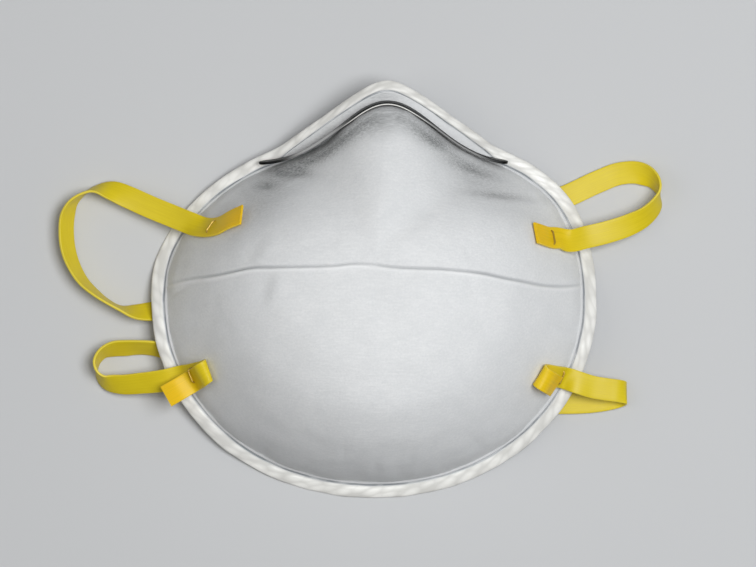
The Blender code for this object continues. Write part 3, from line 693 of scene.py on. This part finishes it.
# Painted shade in the crease's groove and a painted highlight on the ridge just below it
CREASE_PAINTED_SHADE = (0.36, 0.37, 0.38, 1.0)
WELT_PAINTED_HIGHLIGHT = (0.93, 0.93, 0.93, 1.0)
CLOTH_SHADES = (0.38, 0.62)
CLOTH_ROUGHNESS = 0.86
CLOTH_SHEEN = 0.12
CLOTH_RELIEF = (0.5, 0.00006)
FIBRE_LIGHT = 0.35
WELT_HIGHLIGHT_SHARE = 0.75
CREASE_SHADE = 0.80

# Fibres combed sideways over the dome: size of a strand, the part of its noise that shows, and its shade.
# The grey patches and the painted shade beside the nose catch on the same strands.
COMBED_SIZE = (0.0052, 0.00065, 0.00065)
COMBED_SPAN = (0.36, 0.64)
COMBED_SHADE = 0.40
PATCH_STREAK_NOISE = (1.5, 4.0, 0.75)
PATCH_STREAK_SPAN = (0.3, 0.7, 0.35, 1.25)

# Slanted lobes that the welding tool pressed into the edge: their slant, their length and width, how freely
# they stand, where their sides start and end, and how much they shade, deepen, flatten and gloss the cloth
PRESS_SLANT_DEG = 17.0
PRESS_SIZE = (0.0058, 0.0022, 1.0)
PRESS_FREEDOM = 0.8
PRESS_SIDES = (0.28, 0.72)
PRESS_SHADE = 0.62
PRESS_DEPTH = -4.0
PRESS_FLATTENS = 0.75
PRESS_ROUGHNESS = (0.30, 0.50)

# The weld line comes and goes along the edge: over what length, and between which strengths
WELD_FADE_LENGTH = 0.0075
WELD_FADE = (0.36, 0.56, 0.40, 0.92)


def cup_cloth():
    """White matted cloth, with its weld line and glossy pressed edge, painted shade in the crease and on the
    shelf at the dome's foot, a painted highlight on the crease's ridge, and grey patches and painted shade
    beside the nose.
    """
    nodes = Finish("cup_cloth")
    place = nodes.place()
    fibres = nodes.add("ShaderNodeGroup", {"Vector": place}, node_tree=FIBRES)
    height, shade = fibres.outputs["Height"], fibres.outputs["Shade"]

    slanted = nodes.mapped(nodes.run(), PRESS_SIZE, PRESS_SLANT_DEG)
    cells = nodes.add("ShaderNodeTexVoronoi", {"Vector": slanted, "Scale": 1.0, "Randomness": PRESS_FREEDOM})
    marks = nodes.span(cells.outputs["Distance"], *PRESS_SIDES)
    pressed = nodes.attribute("pressed")

    along = nodes.mapped(place, COMBED_SIZE)
    combed = nodes.span(nodes.noise(along), *COMBED_SPAN)
    streaks = nodes.span(nodes.noise(along, *PATCH_STREAK_NOISE), *PATCH_STREAK_SPAN)
    faded = nodes.span(nodes.noise(place, 1.0 / WELD_FADE_LENGTH), *WELD_FADE)
    # Coats over the cloth: lighter fibre tops, darker combed strands, painted shade on the shelf at the
    # dome's foot, the pressed edge, grey patches with painted shade, a painted highlight on the crease's
    # ridge, painted shade in its groove, and the weld line
    coats = (
        (nodes.times(height, FIBRE_LIGHT), CLOTH_WHITE),
        (nodes.times(combed, COMBED_SHADE), CLOTH_HOLLOW),
        (nodes.attribute("foot"), CLOTH_FOOT_SHADE),
        (pressed, nodes.mix(nodes.times(marks, PRESS_SHADE), EDGE_CREAM, EDGE_SHADE)),
        (nodes.times(nodes.attribute("grey_patches_and_shade"), streaks), PATCH_AND_SHADE_GREY),
        (nodes.times(nodes.attribute("welt_highlight"), WELT_HIGHLIGHT_SHARE), WELT_PAINTED_HIGHLIGHT),
        (nodes.times(nodes.attribute("crease_shade"), CREASE_SHADE), CREASE_PAINTED_SHADE),
        (nodes.times(nodes.attribute("weld"), faded), WELD_GREY),
    )
    cloth = nodes.mix(nodes.span(shade, *CLOTH_SHADES), CLOTH_HOLLOW, CLOTH_WHITE)
    for share, colour in coats:
        cloth = nodes.mix(share, cloth, colour)

    pressed_marks = nodes.times(nodes.times(marks, pressed), PRESS_DEPTH)
    soft = nodes.math("SUBTRACT", 1.0, nodes.times(pressed, PRESS_FLATTENS))
    relief = nodes.math("ADD", nodes.times(nodes.math("ADD", height, combed), soft), pressed_marks)
    gloss = nodes.span(marks, 0.0, 1.0, *PRESS_ROUGHNESS)
    return nodes.shade({
        "Base Color": cloth,
        "Normal": nodes.bump(relief, *CLOTH_RELIEF),
        "Roughness": nodes.mix_values(pressed, CLOTH_ROUGHNESS, gloss),
        "Sheen Weight": CLOTH_SHEEN,
    })


CUP = new_piece("cup_cloth_shell", build_cup(), cup_cloth(), sharp_deg=80.0)
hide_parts("cup")


# The nose clip: a narrow strip of dark annealed metal with rounded ends, bent by hand over the bridge; its
# near-black colour is partly a painted reflection of a dark room. It stands on edge in the valley between
# the dome and the nose flap, a little twisted, so that it shows as a dark line, with a painted highlight
# along its upper edge.
CLIP_LEFT_REACH = 0.0395
CLIP_RIGHT_REACH = 0.0372
CLIP_WIDTH = 0.0050
CLIP_THICKNESS = 0.0008
CLIP_LEAN_DEG = 9.0
CLIP_FLANK_LEAN_DEG = 1.5
CLIP_SEAT_GAP = 0.0003
CLIP_TIP_WIDTH = 0.0010
CLIP_STATIONS = 150
CLIP_ROUNDING = 0.00016
CLIP_FACE_STRIPS = 6
CORNER_STEPS = 3

# Flanks of the clip, where it stands upright and matted fibres cover it: middle and half length along the
# mask's width, and how far they cover the side towards the flap. Between them a painted highlight lies on
# its upper edge. Both fade with a flat top.
Flank = namedtuple("Flank", "x half_length flap_side")
CLIP_FLANKS = (Flank(-0.0215, 0.0085, 1.0), Flank(0.0205, 0.0100, 0.0))
CLIP_HIGHLIGHT_HALF = 0.0180
FLAT_TOP = 4


def band_section(width, thickness, rounding, strips):
    """A flat band's cross-section as a closed ring of (across, out) pairs, with its long edges rounded."""
    half, deep = width / 2.0 - rounding, thickness / 2.0 - rounding
    ring = []
    for quarter, (across, out) in enumerate(((half, deep), (-half, deep), (-half, -deep), (half, -deep))):
        for k in range(CORNER_STEPS + 1):
            turn = math.radians(90.0 * (quarter + k / CORNER_STEPS))
            ring.append((across + rounding * math.cos(turn), out + rounding * math.sin(turn)))
        if quarter % 2 == 0:
            for k in range(1, strips):
                ring.append((across * (1.0 - 2.0 * k / strips), out + math.copysign(rounding, out)))
    return ring


def band(stations, widths, thickness, rounding, strips, masks):
    """A flat band along stations of (place, outer face's direction), with rounded edges and closed ends."""
    places = [place for place, _ in stations]
    frames = []
    for i, (place, face) in enumerate(stations):
        ahead = (places[min(i + 1, len(places) - 1)] - places[max(i - 1, 0)]).normalized()
        face = (face - ahead * face.dot(ahead)).normalized()
        frames.append((place, face.cross(ahead), face))
    along = run_lengths(places)
    rings = [band_section(width, thickness, rounding, strips) for width in widths]
    columns = len(rings[0]) + 1

    def place_of(row, column):
        place, side, face = frames[row]
        across, out = rings[row][column % (columns - 1)]
        return place + side * across + face * out

    def run_of(row, column):
        return along[row], rings[row][column % (columns - 1)][0]

    bm = lay_out(len(stations), columns, place_of, run_of)
    bm.verts.ensure_lookup_table()
    for name, mask in masks.items():
        layer = bm.verts.layers.float.new(name)
        for i, vert in enumerate(bm.verts):
            row, column = divmod(i, columns)
            vert[layer] = mask(row, *rings[row][column % (columns - 1)])
    bmesh.ops.remove_doubles(bm, verts=bm.verts, dist=MERGE)
    open_edges = [edge for edge in bm.edges if edge.is_boundary]
    bmesh.ops.holes_fill(bm, edges=open_edges, sides=0)
    bmesh.ops.recalc_face_normals(bm, faces=bm.faces)
    return bm


def on_flank(x, flank):
    return math.exp(-(((x - flank.x) / flank.half_length) ** FLAT_TOP))


def clip_stations():
    """Places and face directions along the nose clip, seated against the dome's foot, and its widths."""
    middle = (CLIP_RIGHT_REACH - CLIP_LEFT_REACH) / 2.0
    half_span = (CLIP_RIGHT_REACH + CLIP_LEFT_REACH) / 2.0
    half, upwards = CLIP_WIDTH / 2.0, Vector((0.0, 0.0, 1.0))
    seat = CLIP_SEAT_GAP + CLIP_THICKNESS / 2.0
    stations, widths = [], []
    for i in range(CLIP_STATIONS + 1):
        share = -math.cos(math.pi * i / CLIP_STATIONS)
        x = middle + half_span * share
        y = clip_line_y(x)
        upright = sum(on_flank(x, flank) for flank in CLIP_FLANKS)
        lean = math.radians(CLIP_LEAN_DEG + (CLIP_FLANK_LEAN_DEG - CLIP_LEAN_DEG) * upright)
        outward = Vector((-clip_line_slope(x), 1.0, 0.0)).normalized()
        direction = math.atan2(y - CREASE_TOP_Y, x)
        foot = rim_height(direction) + FLANGE_THICKNESS
        face = outward * math.cos(lean) + upwards * math.sin(lean)
        up = upwards * math.cos(lean) - outward * math.sin(lean)
        place = Vector((x, y, foot + CLIP_SEAT_GAP)) + up * CLIP_WIDTH / 2.0 + outward * seat
        place.x += nose_lean(place.y)
        stations.append((place, face))
        from_tip = min(half, (1.0 - abs(share)) * half_span)
        rounded = 2.0 * math.sqrt(half**2 - (half - from_tip) ** 2)
        widths.append(max(CLIP_TIP_WIDTH, rounded))
    return stations, widths


CLIP_PLACES, CLIP_WIDTHS = clip_stations()


def clip_edge_highlight(row, across, out):
    """1 where a painted highlight lies on the upper edge that faces the cup, over the bridge of the nose."""
    on_edge = across < CLIP_ROUNDING - CLIP_WIDTHS[row] / 2.0 and out < 0.0
    x = CLIP_PLACES[row][0].x - NOSE_LEAN
    return float(on_edge) * math.exp(-((x / CLIP_HIGHLIGHT_HALF) ** FLAT_TOP))


def clip_covered(row, across, out):
    x = CLIP_PLACES[row][0].x - NOSE_LEAN
    return sum(on_flank(x, flank) * (flank.flap_side if out > 0.0 else 1.0) for flank in CLIP_FLANKS)


# Near-black metal, partly a painted reflection of a dark room, and a painted highlight for the upper edge
CLIP_DARK_AND_REFLECTION = (0.016, 0.0165, 0.017, 1.0)
CLIP_PAINTED_HIGHLIGHT = (0.86, 0.85, 0.81, 1.0)
CLIP_COVER = (0.36, 0.36, 0.355, 1.0)
CLIP_COVER_ROUGHNESS = 0.85
CLIP_HIGHLIGHT_SPAN = (0.45, 0.85)
CLIP_LINE_SIZE = (0.0120, 0.00012, 1.0)
CLIP_LINE_NOISE = (1.0, 3.0, 0.6)
CLIP_LINE_ROUGHNESS = (0.3, 0.7, 0.42, 0.56)
CLIP_RELIEF = (0.25, 0.00002)


def clip_metal():
    """Dark metal, its near-black partly a painted reflection of a dark room, with faint rolling lines along
    it, a painted highlight along its upper edge, and matted over at its flanks.
    """
    nodes = Finish("clip_metal")
    lines = nodes.noise(nodes.mapped(nodes.run(), CLIP_LINE_SIZE), *CLIP_LINE_NOISE)
    covered = nodes.attribute("covered")
    edge_highlight = nodes.span(nodes.attribute("edge_highlight"), *CLIP_HIGHLIGHT_SPAN)
    polish = nodes.span(lines, *CLIP_LINE_ROUGHNESS)
    return nodes.shade({
        "Base Color": nodes.mix(covered, nodes.mix(edge_highlight, CLIP_DARK_AND_REFLECTION, CLIP_PAINTED_HIGHLIGHT), CLIP_COVER),
        "Roughness": nodes.mix_values(covered, polish, CLIP_COVER_ROUGHNESS),
        "Metallic": nodes.math("SUBTRACT", 1.0, nodes.math("MAXIMUM", covered, edge_highlight), clamp=True),
        "Normal": nodes.bump(lines, *CLIP_RELIEF),
    })


CLIP_MASKS = {"edge_highlight": clip_edge_highlight, "covered": clip_covered}
CLIP_MESH = band(CLIP_PLACES, CLIP_WIDTHS, CLIP_THICKNESS, CLIP_ROUNDING, CLIP_FACE_STRIPS, CLIP_MASKS)
CLIP = new_piece("nose_clip_strip", CLIP_MESH, clip_metal())
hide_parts("nose_clip")


# The head straps: two flat bands of yellow elastic, each stapled at both ends to the outer face of the cup.
# They leave the cup, turn over and run back under it, and their slack loops lie on the surface beside it.
STRAP_WIDTH = 0.0070
STRAP_THICKNESS = 0.0008
STRAP_ROUNDING = 0.00022
STRAP_STATION_GAP = 0.0011
STRAP_FACE_STRIPS = 8

# Where each strap is stapled to the cup: plan place of the staple, and the plan direction in degrees in
# which the strap leaves it
Staple = namedtuple("Staple", "x y leaves")
STAPLES = {
    "upper_left": Staple(-0.0493, 0.0189, 160.0),
    "upper_right": Staple(0.0541, 0.0158, 350.0),
    "lower_left": Staple(-0.0545, -0.0255, 187.0),
    "lower_right": Staple(0.0568, -0.0266, 355.0),
}

# Stapled end of each strap, from its cut tail to the staple. A row on the cup gives the plan
# place along the leaving strap and to its side, and the height off the cup, then the direction that the
# strap's outer face looks in, as parts along the strap, to its side and out of the cup. A free row gives a
# place and a direction as the free runs below do.
STRAP_ENDS = {
    "upper_left": (
        ("cup", -0.0084, -0.0061, 0.0020, 0.10, 0.32, 0.94),
        ("cup", -0.0050, -0.0035, 0.0016, 0.10, 0.22, 0.97),
        ("cup", -0.0022, -0.0012, 0.0010, 0.00, 0.08, 1.00),
        ("cup", 0.0000, 0.0000, 0.0007, 0.00, 0.00, 1.00),
        ("cup", 0.0034, 0.0013, 0.0013, 0.00, 0.00, 1.00),
    ),
    "upper_right": (
        ("cup", -0.0056, 0.0003, 0.0013, -0.10, 0.00, 0.98),
        ("cup", -0.0028, 0.0001, 0.0010, -0.05, 0.00, 1.00),
        ("cup", 0.0000, 0.0000, 0.0007, 0.00, 0.00, 1.00),
        ("cup", 0.0018, 0.0002, 0.0011, 0.00, 0.00, 1.00),
    ),
    "lower_left": (
        ("free", -0.0640, -0.0328, 0.0124, 0.25, 0.10, -0.96),
        ("free", -0.0602, -0.0306, 0.0133, 0.40, 0.18, -0.90),
        ("cup", 0.0005, 0.0018, 0.0020, 0.00, 0.00, -1.00),
        ("cup", -0.0022, 0.0007, 0.0026, 0.10, 0.00, -0.99),
        ("cup", -0.0037, 0.0000, 0.0035, 0.25, 0.00, -0.96),
        ("cup", -0.0047, -0.0006, 0.0032, 0.71, 0.00, -0.70),
        ("cup", -0.0051, -0.0008, 0.0021, 1.00, 0.00, 0.00),
        ("cup", -0.0046, -0.0008, 0.0011, 0.71, 0.00, 0.70),
        ("cup", -0.0036, -0.0005, 0.0008, 0.00, 0.00, 1.00),
        ("cup", 0.0000, 0.0000, 0.0007, 0.00, 0.00, 1.00),
        ("cup", 0.0014, 0.0001, 0.0010, 0.00, 0.00, 1.00),
    ),
    "lower_right": (
        ("cup", -0.0024, -0.0022, 0.0024, -0.20, 0.10, -0.97),
        ("cup", -0.0042, -0.0014, 0.0033, -0.20, 0.10, -0.97),
        ("cup", -0.0057, -0.0007, 0.0040, 0.00, 0.00, -1.00),
        ("cup", -0.0068, -0.0002, 0.0036, 0.68, -0.18, -0.71),
        ("cup", -0.0072, 0.0001, 0.0024, 0.97, -0.25, 0.00),
        ("cup", -0.0068, 0.0004, 0.0013, 0.68, -0.18, 0.71),
        ("cup", -0.0056, 0.0004, 0.0008, 0.00, 0.00, 1.00),
        ("cup", -0.0028, 0.0002, 0.0008, 0.00, 0.00, 1.00),
        ("cup", 0.0000, 0.0000, 0.0007, 0.00, 0.00, 1.00),
        ("cup", 0.0012, 0.0000, 0.0010, 0.00, 0.00, 1.00),
    ),
}

# Free run of each strap, from the left staple round under the cup to the right staple, laid on the
# surface: place, then the direction that the strap's outer face looks in
UPPER_RUN = (
    (-0.0575, 0.0209, 0.0094, -0.40, 0.12, 0.91),
    (-0.0622, 0.0228, 0.0074, -0.20, 0.05, 0.97),
    (-0.0700, 0.0260, 0.0058, -0.15, 0.10, 0.97),
    (-0.0765, 0.0289, 0.0050, -0.10, 0.25, 0.95),
    (-0.0814, 0.0308, 0.0045, -0.10, 0.60, 0.78),
    (-0.0868, 0.0312, 0.0041, -0.20, 0.93, 0.20),
    (-0.0910, 0.0292, 0.0039, -0.60, 0.75, -0.10),
    (-0.0934, 0.0269, 0.0037, -0.80, 0.50, -0.30),
    (-0.0949, 0.0235, 0.0034, -0.82, 0.15, -0.52),
    (-0.0954, 0.0180, 0.0033, -0.82, 0.00, -0.57),
    (-0.0947, 0.0121, 0.0033, -0.80, -0.20, -0.55),
    (-0.0928, 0.0070, 0.0034, -0.78, -0.40, -0.45),
    (-0.0902, 0.0028, 0.0036, -0.70, -0.60, -0.35),
    (-0.0863, -0.0009, 0.0038, -0.60, -0.75, -0.22),
    (-0.0829, -0.0034, 0.0039, -0.50, -0.85, -0.12),
    (-0.0786, -0.0057, 0.0038, -0.35, -0.92, -0.15),
    (-0.0739, -0.0068, 0.0034, -0.10, -0.80, -0.58),
    (-0.0693, -0.0067, 0.0027, 0.00, -0.60, -0.80),
    (-0.0650, -0.0062, 0.0021, 0.00, -0.42, -0.91),
    (-0.0590, -0.0050, 0.0012, 0.00, -0.15, -0.99),
    (-0.0400, 0.0005, 0.0008, 0.00, 0.00, -1.00),
    (0.0000, 0.0117, 0.0008, 0.00, 0.00, -1.00),
    (0.0400, 0.0230, 0.0008, 0.00, 0.00, -1.00),
    (0.0600, 0.0292, 0.0008, 0.00, 0.00, -1.00),
    (0.0700, 0.0338, 0.0008, 0.00, 0.00, -1.00),
    (0.0762, 0.0361, 0.0010, 0.00, 0.00, -1.00),
    (0.0826, 0.0362, 0.0020, 0.30, 0.15, -0.94),
    (0.0866, 0.0340, 0.0034, 0.65, 0.45, -0.60),
    (0.0883, 0.0305, 0.0044, 0.97, 0.15, -0.10),
    (0.0876, 0.0268, 0.0052, 0.80, -0.30, 0.50),
    (0.0845, 0.0232, 0.0060, 0.45, -0.45, 0.77),
    (0.0790, 0.0202, 0.0068, 0.20, -0.25, 0.95),
    (0.0725, 0.0180, 0.0076, 0.20, -0.10, 0.97),
    (0.0655, 0.0163, 0.0090, 0.25, 0.00, 0.96),
    (0.0600, 0.0152, 0.0118, 0.50, 0.05, 0.86),
)
LOWER_RUN = (
    (-0.0590, -0.0266, 0.0103, -0.35, -0.15, 0.92),
    (-0.0640, -0.0278, 0.0092, -0.15, -0.20, 0.97),
    (-0.0718, -0.0288, 0.0068, -0.20, -0.40, 0.89),
    (-0.0791, -0.0292, 0.0048, -0.20, -0.55, 0.80),
    (-0.0836, -0.0283, 0.0040, -0.60, -0.55, 0.45),
    (-0.0858, -0.0255, 0.0039, -0.95, -0.20, 0.10),
    (-0.0860, -0.0225, 0.0038, -0.93, 0.30, -0.20),
    (-0.0840, -0.0195, 0.0036, -0.55, 0.72, -0.42),
    (-0.0805, -0.0182, 0.0033, -0.15, 0.75, -0.64),
    (-0.0772, -0.0180, 0.0033, 0.00, 0.75, -0.66),
    (-0.0735, -0.0178, 0.0033, 0.05, 0.80, -0.60),
    (-0.0700, -0.0179, 0.0033, 0.05, 0.80, -0.60),
    (-0.0665, -0.0184, 0.0030, 0.05, 0.75, -0.65),
    (-0.0620, -0.0193, 0.0024, 0.00, 0.50, -0.87),
    (-0.0560, -0.0203, 0.0013, 0.00, 0.20, -0.98),
    (-0.0400, -0.0225, 0.0008, 0.00, 0.00, -1.00),
    (0.0000, -0.0285, 0.0008, 0.00, 0.00, -1.00),
    (0.0400, -0.0336, 0.0008, 0.00, 0.00, -1.00),
    (0.0600, -0.0350, 0.0008, 0.00, 0.00, -1.00),
    (0.0680, -0.0346, 0.0008, 0.00, 0.00, -1.00),
    (0.0730, -0.0338, 0.0009, 0.00, 0.00, -1.00),
    (0.0764, -0.0328, 0.0013, 0.40, 0.00, -0.92),
    (0.0780, -0.0320, 0.0028, 1.00, 0.00, 0.00),
    (0.0764, -0.0314, 0.0045, 0.45, 0.00, 0.89),
    (0.0730, -0.0309, 0.0056, 0.20, 0.00, 0.98),
    (0.0680, -0.0301, 0.0068, 0.20, 0.00, 0.98),
    (0.0625, -0.0284, 0.0084, 0.35, 0.00, 0.94),
)

# Search for the cup's outer face at a plan place: the share of a spoke that it starts from and its rounds,
# and the step, in share and in radians, over which the face's normal is taken
START_SHARE = 0.8
PLACE_ROUNDS = 12
NORMAL_STEP = 0.004


def dome_under(x, y):
    """Point and normal of the cup's outer face at one plan place."""
    direction, share = math.atan2(y - CREASE_TOP_Y, x), START_SHARE
    for _ in range(PLACE_ROUNDS):
        spoke = Spoke(direction)
        found = spoke.outer(share)
        miss_x, miss_y = x - found.x, y - found.y
        reach = spoke.foot * share
        share += (miss_x * math.cos(direction) + miss_y * math.sin(direction)) / spoke.foot
        direction += (miss_y * math.cos(direction) - miss_x * math.sin(direction)) / reach
    spoke = Spoke(direction)
    outward = spoke.outer(min(1.0, share + NORMAL_STEP)) - spoke.outer(share - NORMAL_STEP)
    around = Spoke(direction + NORMAL_STEP).outer(share) - Spoke(direction - NORMAL_STEP).outer(share)
    return spoke.outer(share), outward.cross(around).normalized()


def frame_on_cup(x, y, leaves):
    """The cup's point under a plan place, and its frame: along a direction, to its side, out of the cup."""
    point, normal = dome_under(x, y)
    flat = Vector((math.cos(math.radians(leaves)), math.sin(math.radians(leaves)), 0.0))
    along = (flat - Vector((0.0, 0.0, flat.dot(normal) / normal.z))).normalized()
    return point, along, normal.cross(along), normal


def strap_end(name):
    """Stations of one stapled strap end, from the cut tail to where the strap leaves the staple."""
    seat = STAPLES[name]
    across, along = math.sin(math.radians(seat.leaves)), math.cos(math.radians(seat.leaves))
    stations = []
    for kind, first, second, height, *parts in STRAP_ENDS[name]:
        if kind == "free":
            stations.append((Vector((first, second, height)), Vector(parts).normalized()))
            continue
        place = (seat.x + first * along - second * across, seat.y + first * across + second * along)
        point, *axes = frame_on_cup(*place, seat.leaves)
        face = sum((axis * part for axis, part in zip(axes, parts)), Vector())
        stations.append((point + axes[-1] * height, face.normalized()))
    return stations


def densify(stations, gap_wanted):
    """The same stations with more between them, on a smooth curve."""
    places = np.array([list(place) for place, _ in stations])
    faces = np.array([list(face) for _, face in stations])
    gaps = np.linalg.norm(np.diff(places, axis=0), axis=1)
    knots = np.concatenate([[0.0], np.cumsum(gaps)])
    found = []
    for i, gap in enumerate(gaps):
        pieces = math.ceil(gap / gap_wanted)
        for k in range(pieces):
            at = knots[i] + gap * k / pieces
            found.append((Vector(spline(places, knots, at)), Vector(spline(faces, knots, at)).normalized()))
    found.append(stations[-1])
    return found


ELASTIC_YELLOW = (0.72, 0.57, 0.014, 1.0)
ELASTIC_DEEP = (0.58, 0.43, 0.006, 1.0)
# A brighter orange near the staples, painted as light and shade for the bent, pinched ends, and how far from
# each end it reaches
ELASTIC_END_LIGHT = (0.93, 0.56, 0.002, 1.0)
ELASTIC_PALE = (0.84, 0.71, 0.12, 1.0)
END_LIGHT_REACH = 0.0125
ELASTIC_ROUGHNESS = (0.3, 0.7, 0.36, 0.50)
ELASTIC_SPECULAR = 0.32
ELASTIC_RELIEF = (0.5, 0.00005)

# Long yarn lines, broad blotches and the paler rims: their sizes, and how much they shade the elastic
YARN_SIZE = (0.0150, 0.00030, 1.0)
YARN_NOISE = (1.0, 3.0, 0.6)
YARN_SHADE = (0.35, 0.65, 0.35, 0.0)
BLOTCHES_PER_METRE = 160.0
BLOTCH_SHADE = (0.4, 0.7, 0.0, 0.20)
RIM_SPAN = (STRAP_WIDTH * 0.47, STRAP_WIDTH * 0.50)
RIM_PALENESS = 0.4


def strap_elastic():
    """Smooth yellow elastic with fine long yarn lines, paler at its edges, and a brighter orange near its
    staples, painted as light and shade for its bent, pinched ends.
    """
    nodes = Finish("strap_elastic")
    run = nodes.run()
    yarns = nodes.noise(nodes.mapped(run, YARN_SIZE), *YARN_NOISE)
    blotches = nodes.noise(nodes.place(), BLOTCHES_PER_METRE)
    across = nodes.add("ShaderNodeSeparateXYZ", {"Vector": run}).outputs["Y"]
    rim = nodes.span(nodes.math("ABSOLUTE", across), *RIM_SPAN)
    colour = nodes.mix(nodes.attribute("painted_end_light"), ELASTIC_YELLOW, ELASTIC_END_LIGHT)
    colour = nodes.mix(nodes.span(yarns, *YARN_SHADE), colour, ELASTIC_DEEP)
    colour = nodes.mix(nodes.span(blotches, *BLOTCH_SHADE), colour, ELASTIC_DEEP)
    return nodes.shade({
        "Base Color": nodes.mix(nodes.times(rim, RIM_PALENESS), colour, ELASTIC_PALE),
        "Roughness": nodes.span(yarns, *ELASTIC_ROUGHNESS),
        "Specular IOR Level": ELASTIC_SPECULAR,
        "Normal": nodes.bump(yarns, *ELASTIC_RELIEF),
    })


ELASTIC = strap_elastic()


def strap(name, node, left, run, right):
    """One head strap, built as a flat band along its stations."""
    free = [(Vector(row[:3]), Vector(row[3:]).normalized()) for row in run]
    stations = densify(strap_end(left) + free + list(reversed(strap_end(right))), STRAP_STATION_GAP)
    path = [place for place, _ in stations]
    along = run_lengths(path)
    length = float(along[-1])

    # Painted light and shade near each stapled end, fading away along the strap
    def painted_end_light(row, _across, _out):
        return math.exp(-((min(along[row], length - along[row]) / END_LIGHT_REACH) ** 2))

    widths = [STRAP_WIDTH] * len(stations)
    bm = band(stations, widths, STRAP_THICKNESS, STRAP_ROUNDING, STRAP_FACE_STRIPS, {"painted_end_light": painted_end_light})
    piece = new_piece(name, bm, ELASTIC)
    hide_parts(node)


strap("upper_strap_band", "upper_head_strap", "upper_left", UPPER_RUN, "upper_right")
strap("lower_strap_band", "lower_head_strap", "lower_left", LOWER_RUN, "lower_right")


# The staples: brass-coated steel wire, bent to pin each strap end to the cup. Their crowns sink into the
# pinched straps, so little of the wire shows.
STAPLE_BRASS = (0.60, 0.42, 0.10, 1.0)
STAPLE_TARNISH = (0.32, 0.21, 0.05, 1.0)
STAIN_NOISE = (2500.0, 3.0, 0.6)
STAIN_SHADE = (0.4, 0.7, 0.0, 0.6)
STAPLE_ROUGHNESS = (0.3, 0.7, 0.42, 0.60)


def staple_wire():
    """Dull brass-coloured wire with small stains."""
    nodes = Finish("staple_wire")
    stains = nodes.noise(nodes.place(), *STAIN_NOISE)
    return nodes.shade({
        "Base Color": nodes.mix(nodes.span(stains, *STAIN_SHADE), STAPLE_BRASS, STAPLE_TARNISH),
        "Roughness": nodes.span(stains, *STAPLE_ROUGHNESS),
        "Metallic": 1.0,
    })


WIRE = staple_wire()
for name in STAPLES:
    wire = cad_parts["staple_" + name]
    for slot in wire.material_slots:
        slot.material = WIRE


# The surface that the mask lies on, the soft lights over it and the camera straight above. None of them is
# part of the mask.
FLOOR_SIZE = 4.0
FLOOR_GREY = (0.56, 0.565, 0.57, 1.0)
FLOOR_ROUGHNESS = 0.75
CAMERA_HEIGHT = 1.5
VIEW_WIDTH = 0.2339
VIEW_LEVEL = 0.006
VIEW_MIDDLE = (0.00124, 0.00201)
SENSOR = 36.0

# Square lights that look at the mask: place, side, power in watts and colour
LIGHTS = {
    "key_light": ((0.42, 0.08, 1.15), 0.60, 11.4, (0.97, 0.985, 1.0)),
    "fill_light": ((-0.80, 0.05, 0.85), 0.70, 1.7, (1.0, 0.97, 0.92)),
    "top_light": ((0.00, 0.10, 1.30), 0.60, 2.4, (1.0, 1.0, 1.0)),
}
ROOM_LIGHT = {"Color": (0.80, 0.82, 0.85, 1.0), "Strength": 0.13}


def floor():
    bm = bmesh.new()
    bmesh.ops.create_grid(bm, x_segments=1, y_segments=1, size=FLOOR_SIZE / 2.0)
    paint = Finish("floor_paint").shade({"Base Color": FLOOR_GREY, "Roughness": FLOOR_ROUGHNESS})
    made = put("floor", new_mesh("floor", bm, paint))


def softbox(name, place, size, power, colour):
    lamp = bpy.data.lights.new(name, "AREA")
    lamp.size = size
    lamp.energy = power
    lamp.color = colour
    made = put(name, lamp)
    made.location = place
    made.rotation_euler = (-Vector(place)).to_track_quat("-Z", "Y").to_euler()


def camera():
    lens = bpy.data.cameras.new("camera")
    lens.sensor_width = SENSOR
    lens.lens = SENSOR * (CAMERA_HEIGHT - VIEW_LEVEL) / VIEW_WIDTH
    made = put("camera", lens)
    made.location = (*VIEW_MIDDLE, CAMERA_HEIGHT)
    bpy.context.scene.camera = made


floor()
for name, light in LIGHTS.items():
    softbox(name, *light)
camera()

world = bpy.data.worlds.new("room")
world.use_nodes = True
Nodes(world.node_tree).feed(world.node_tree.nodes["Background"], ROOM_LIGHT)

bpy.context.scene.world = world
bpy.context.scene.view_settings.view_transform = "Standard"
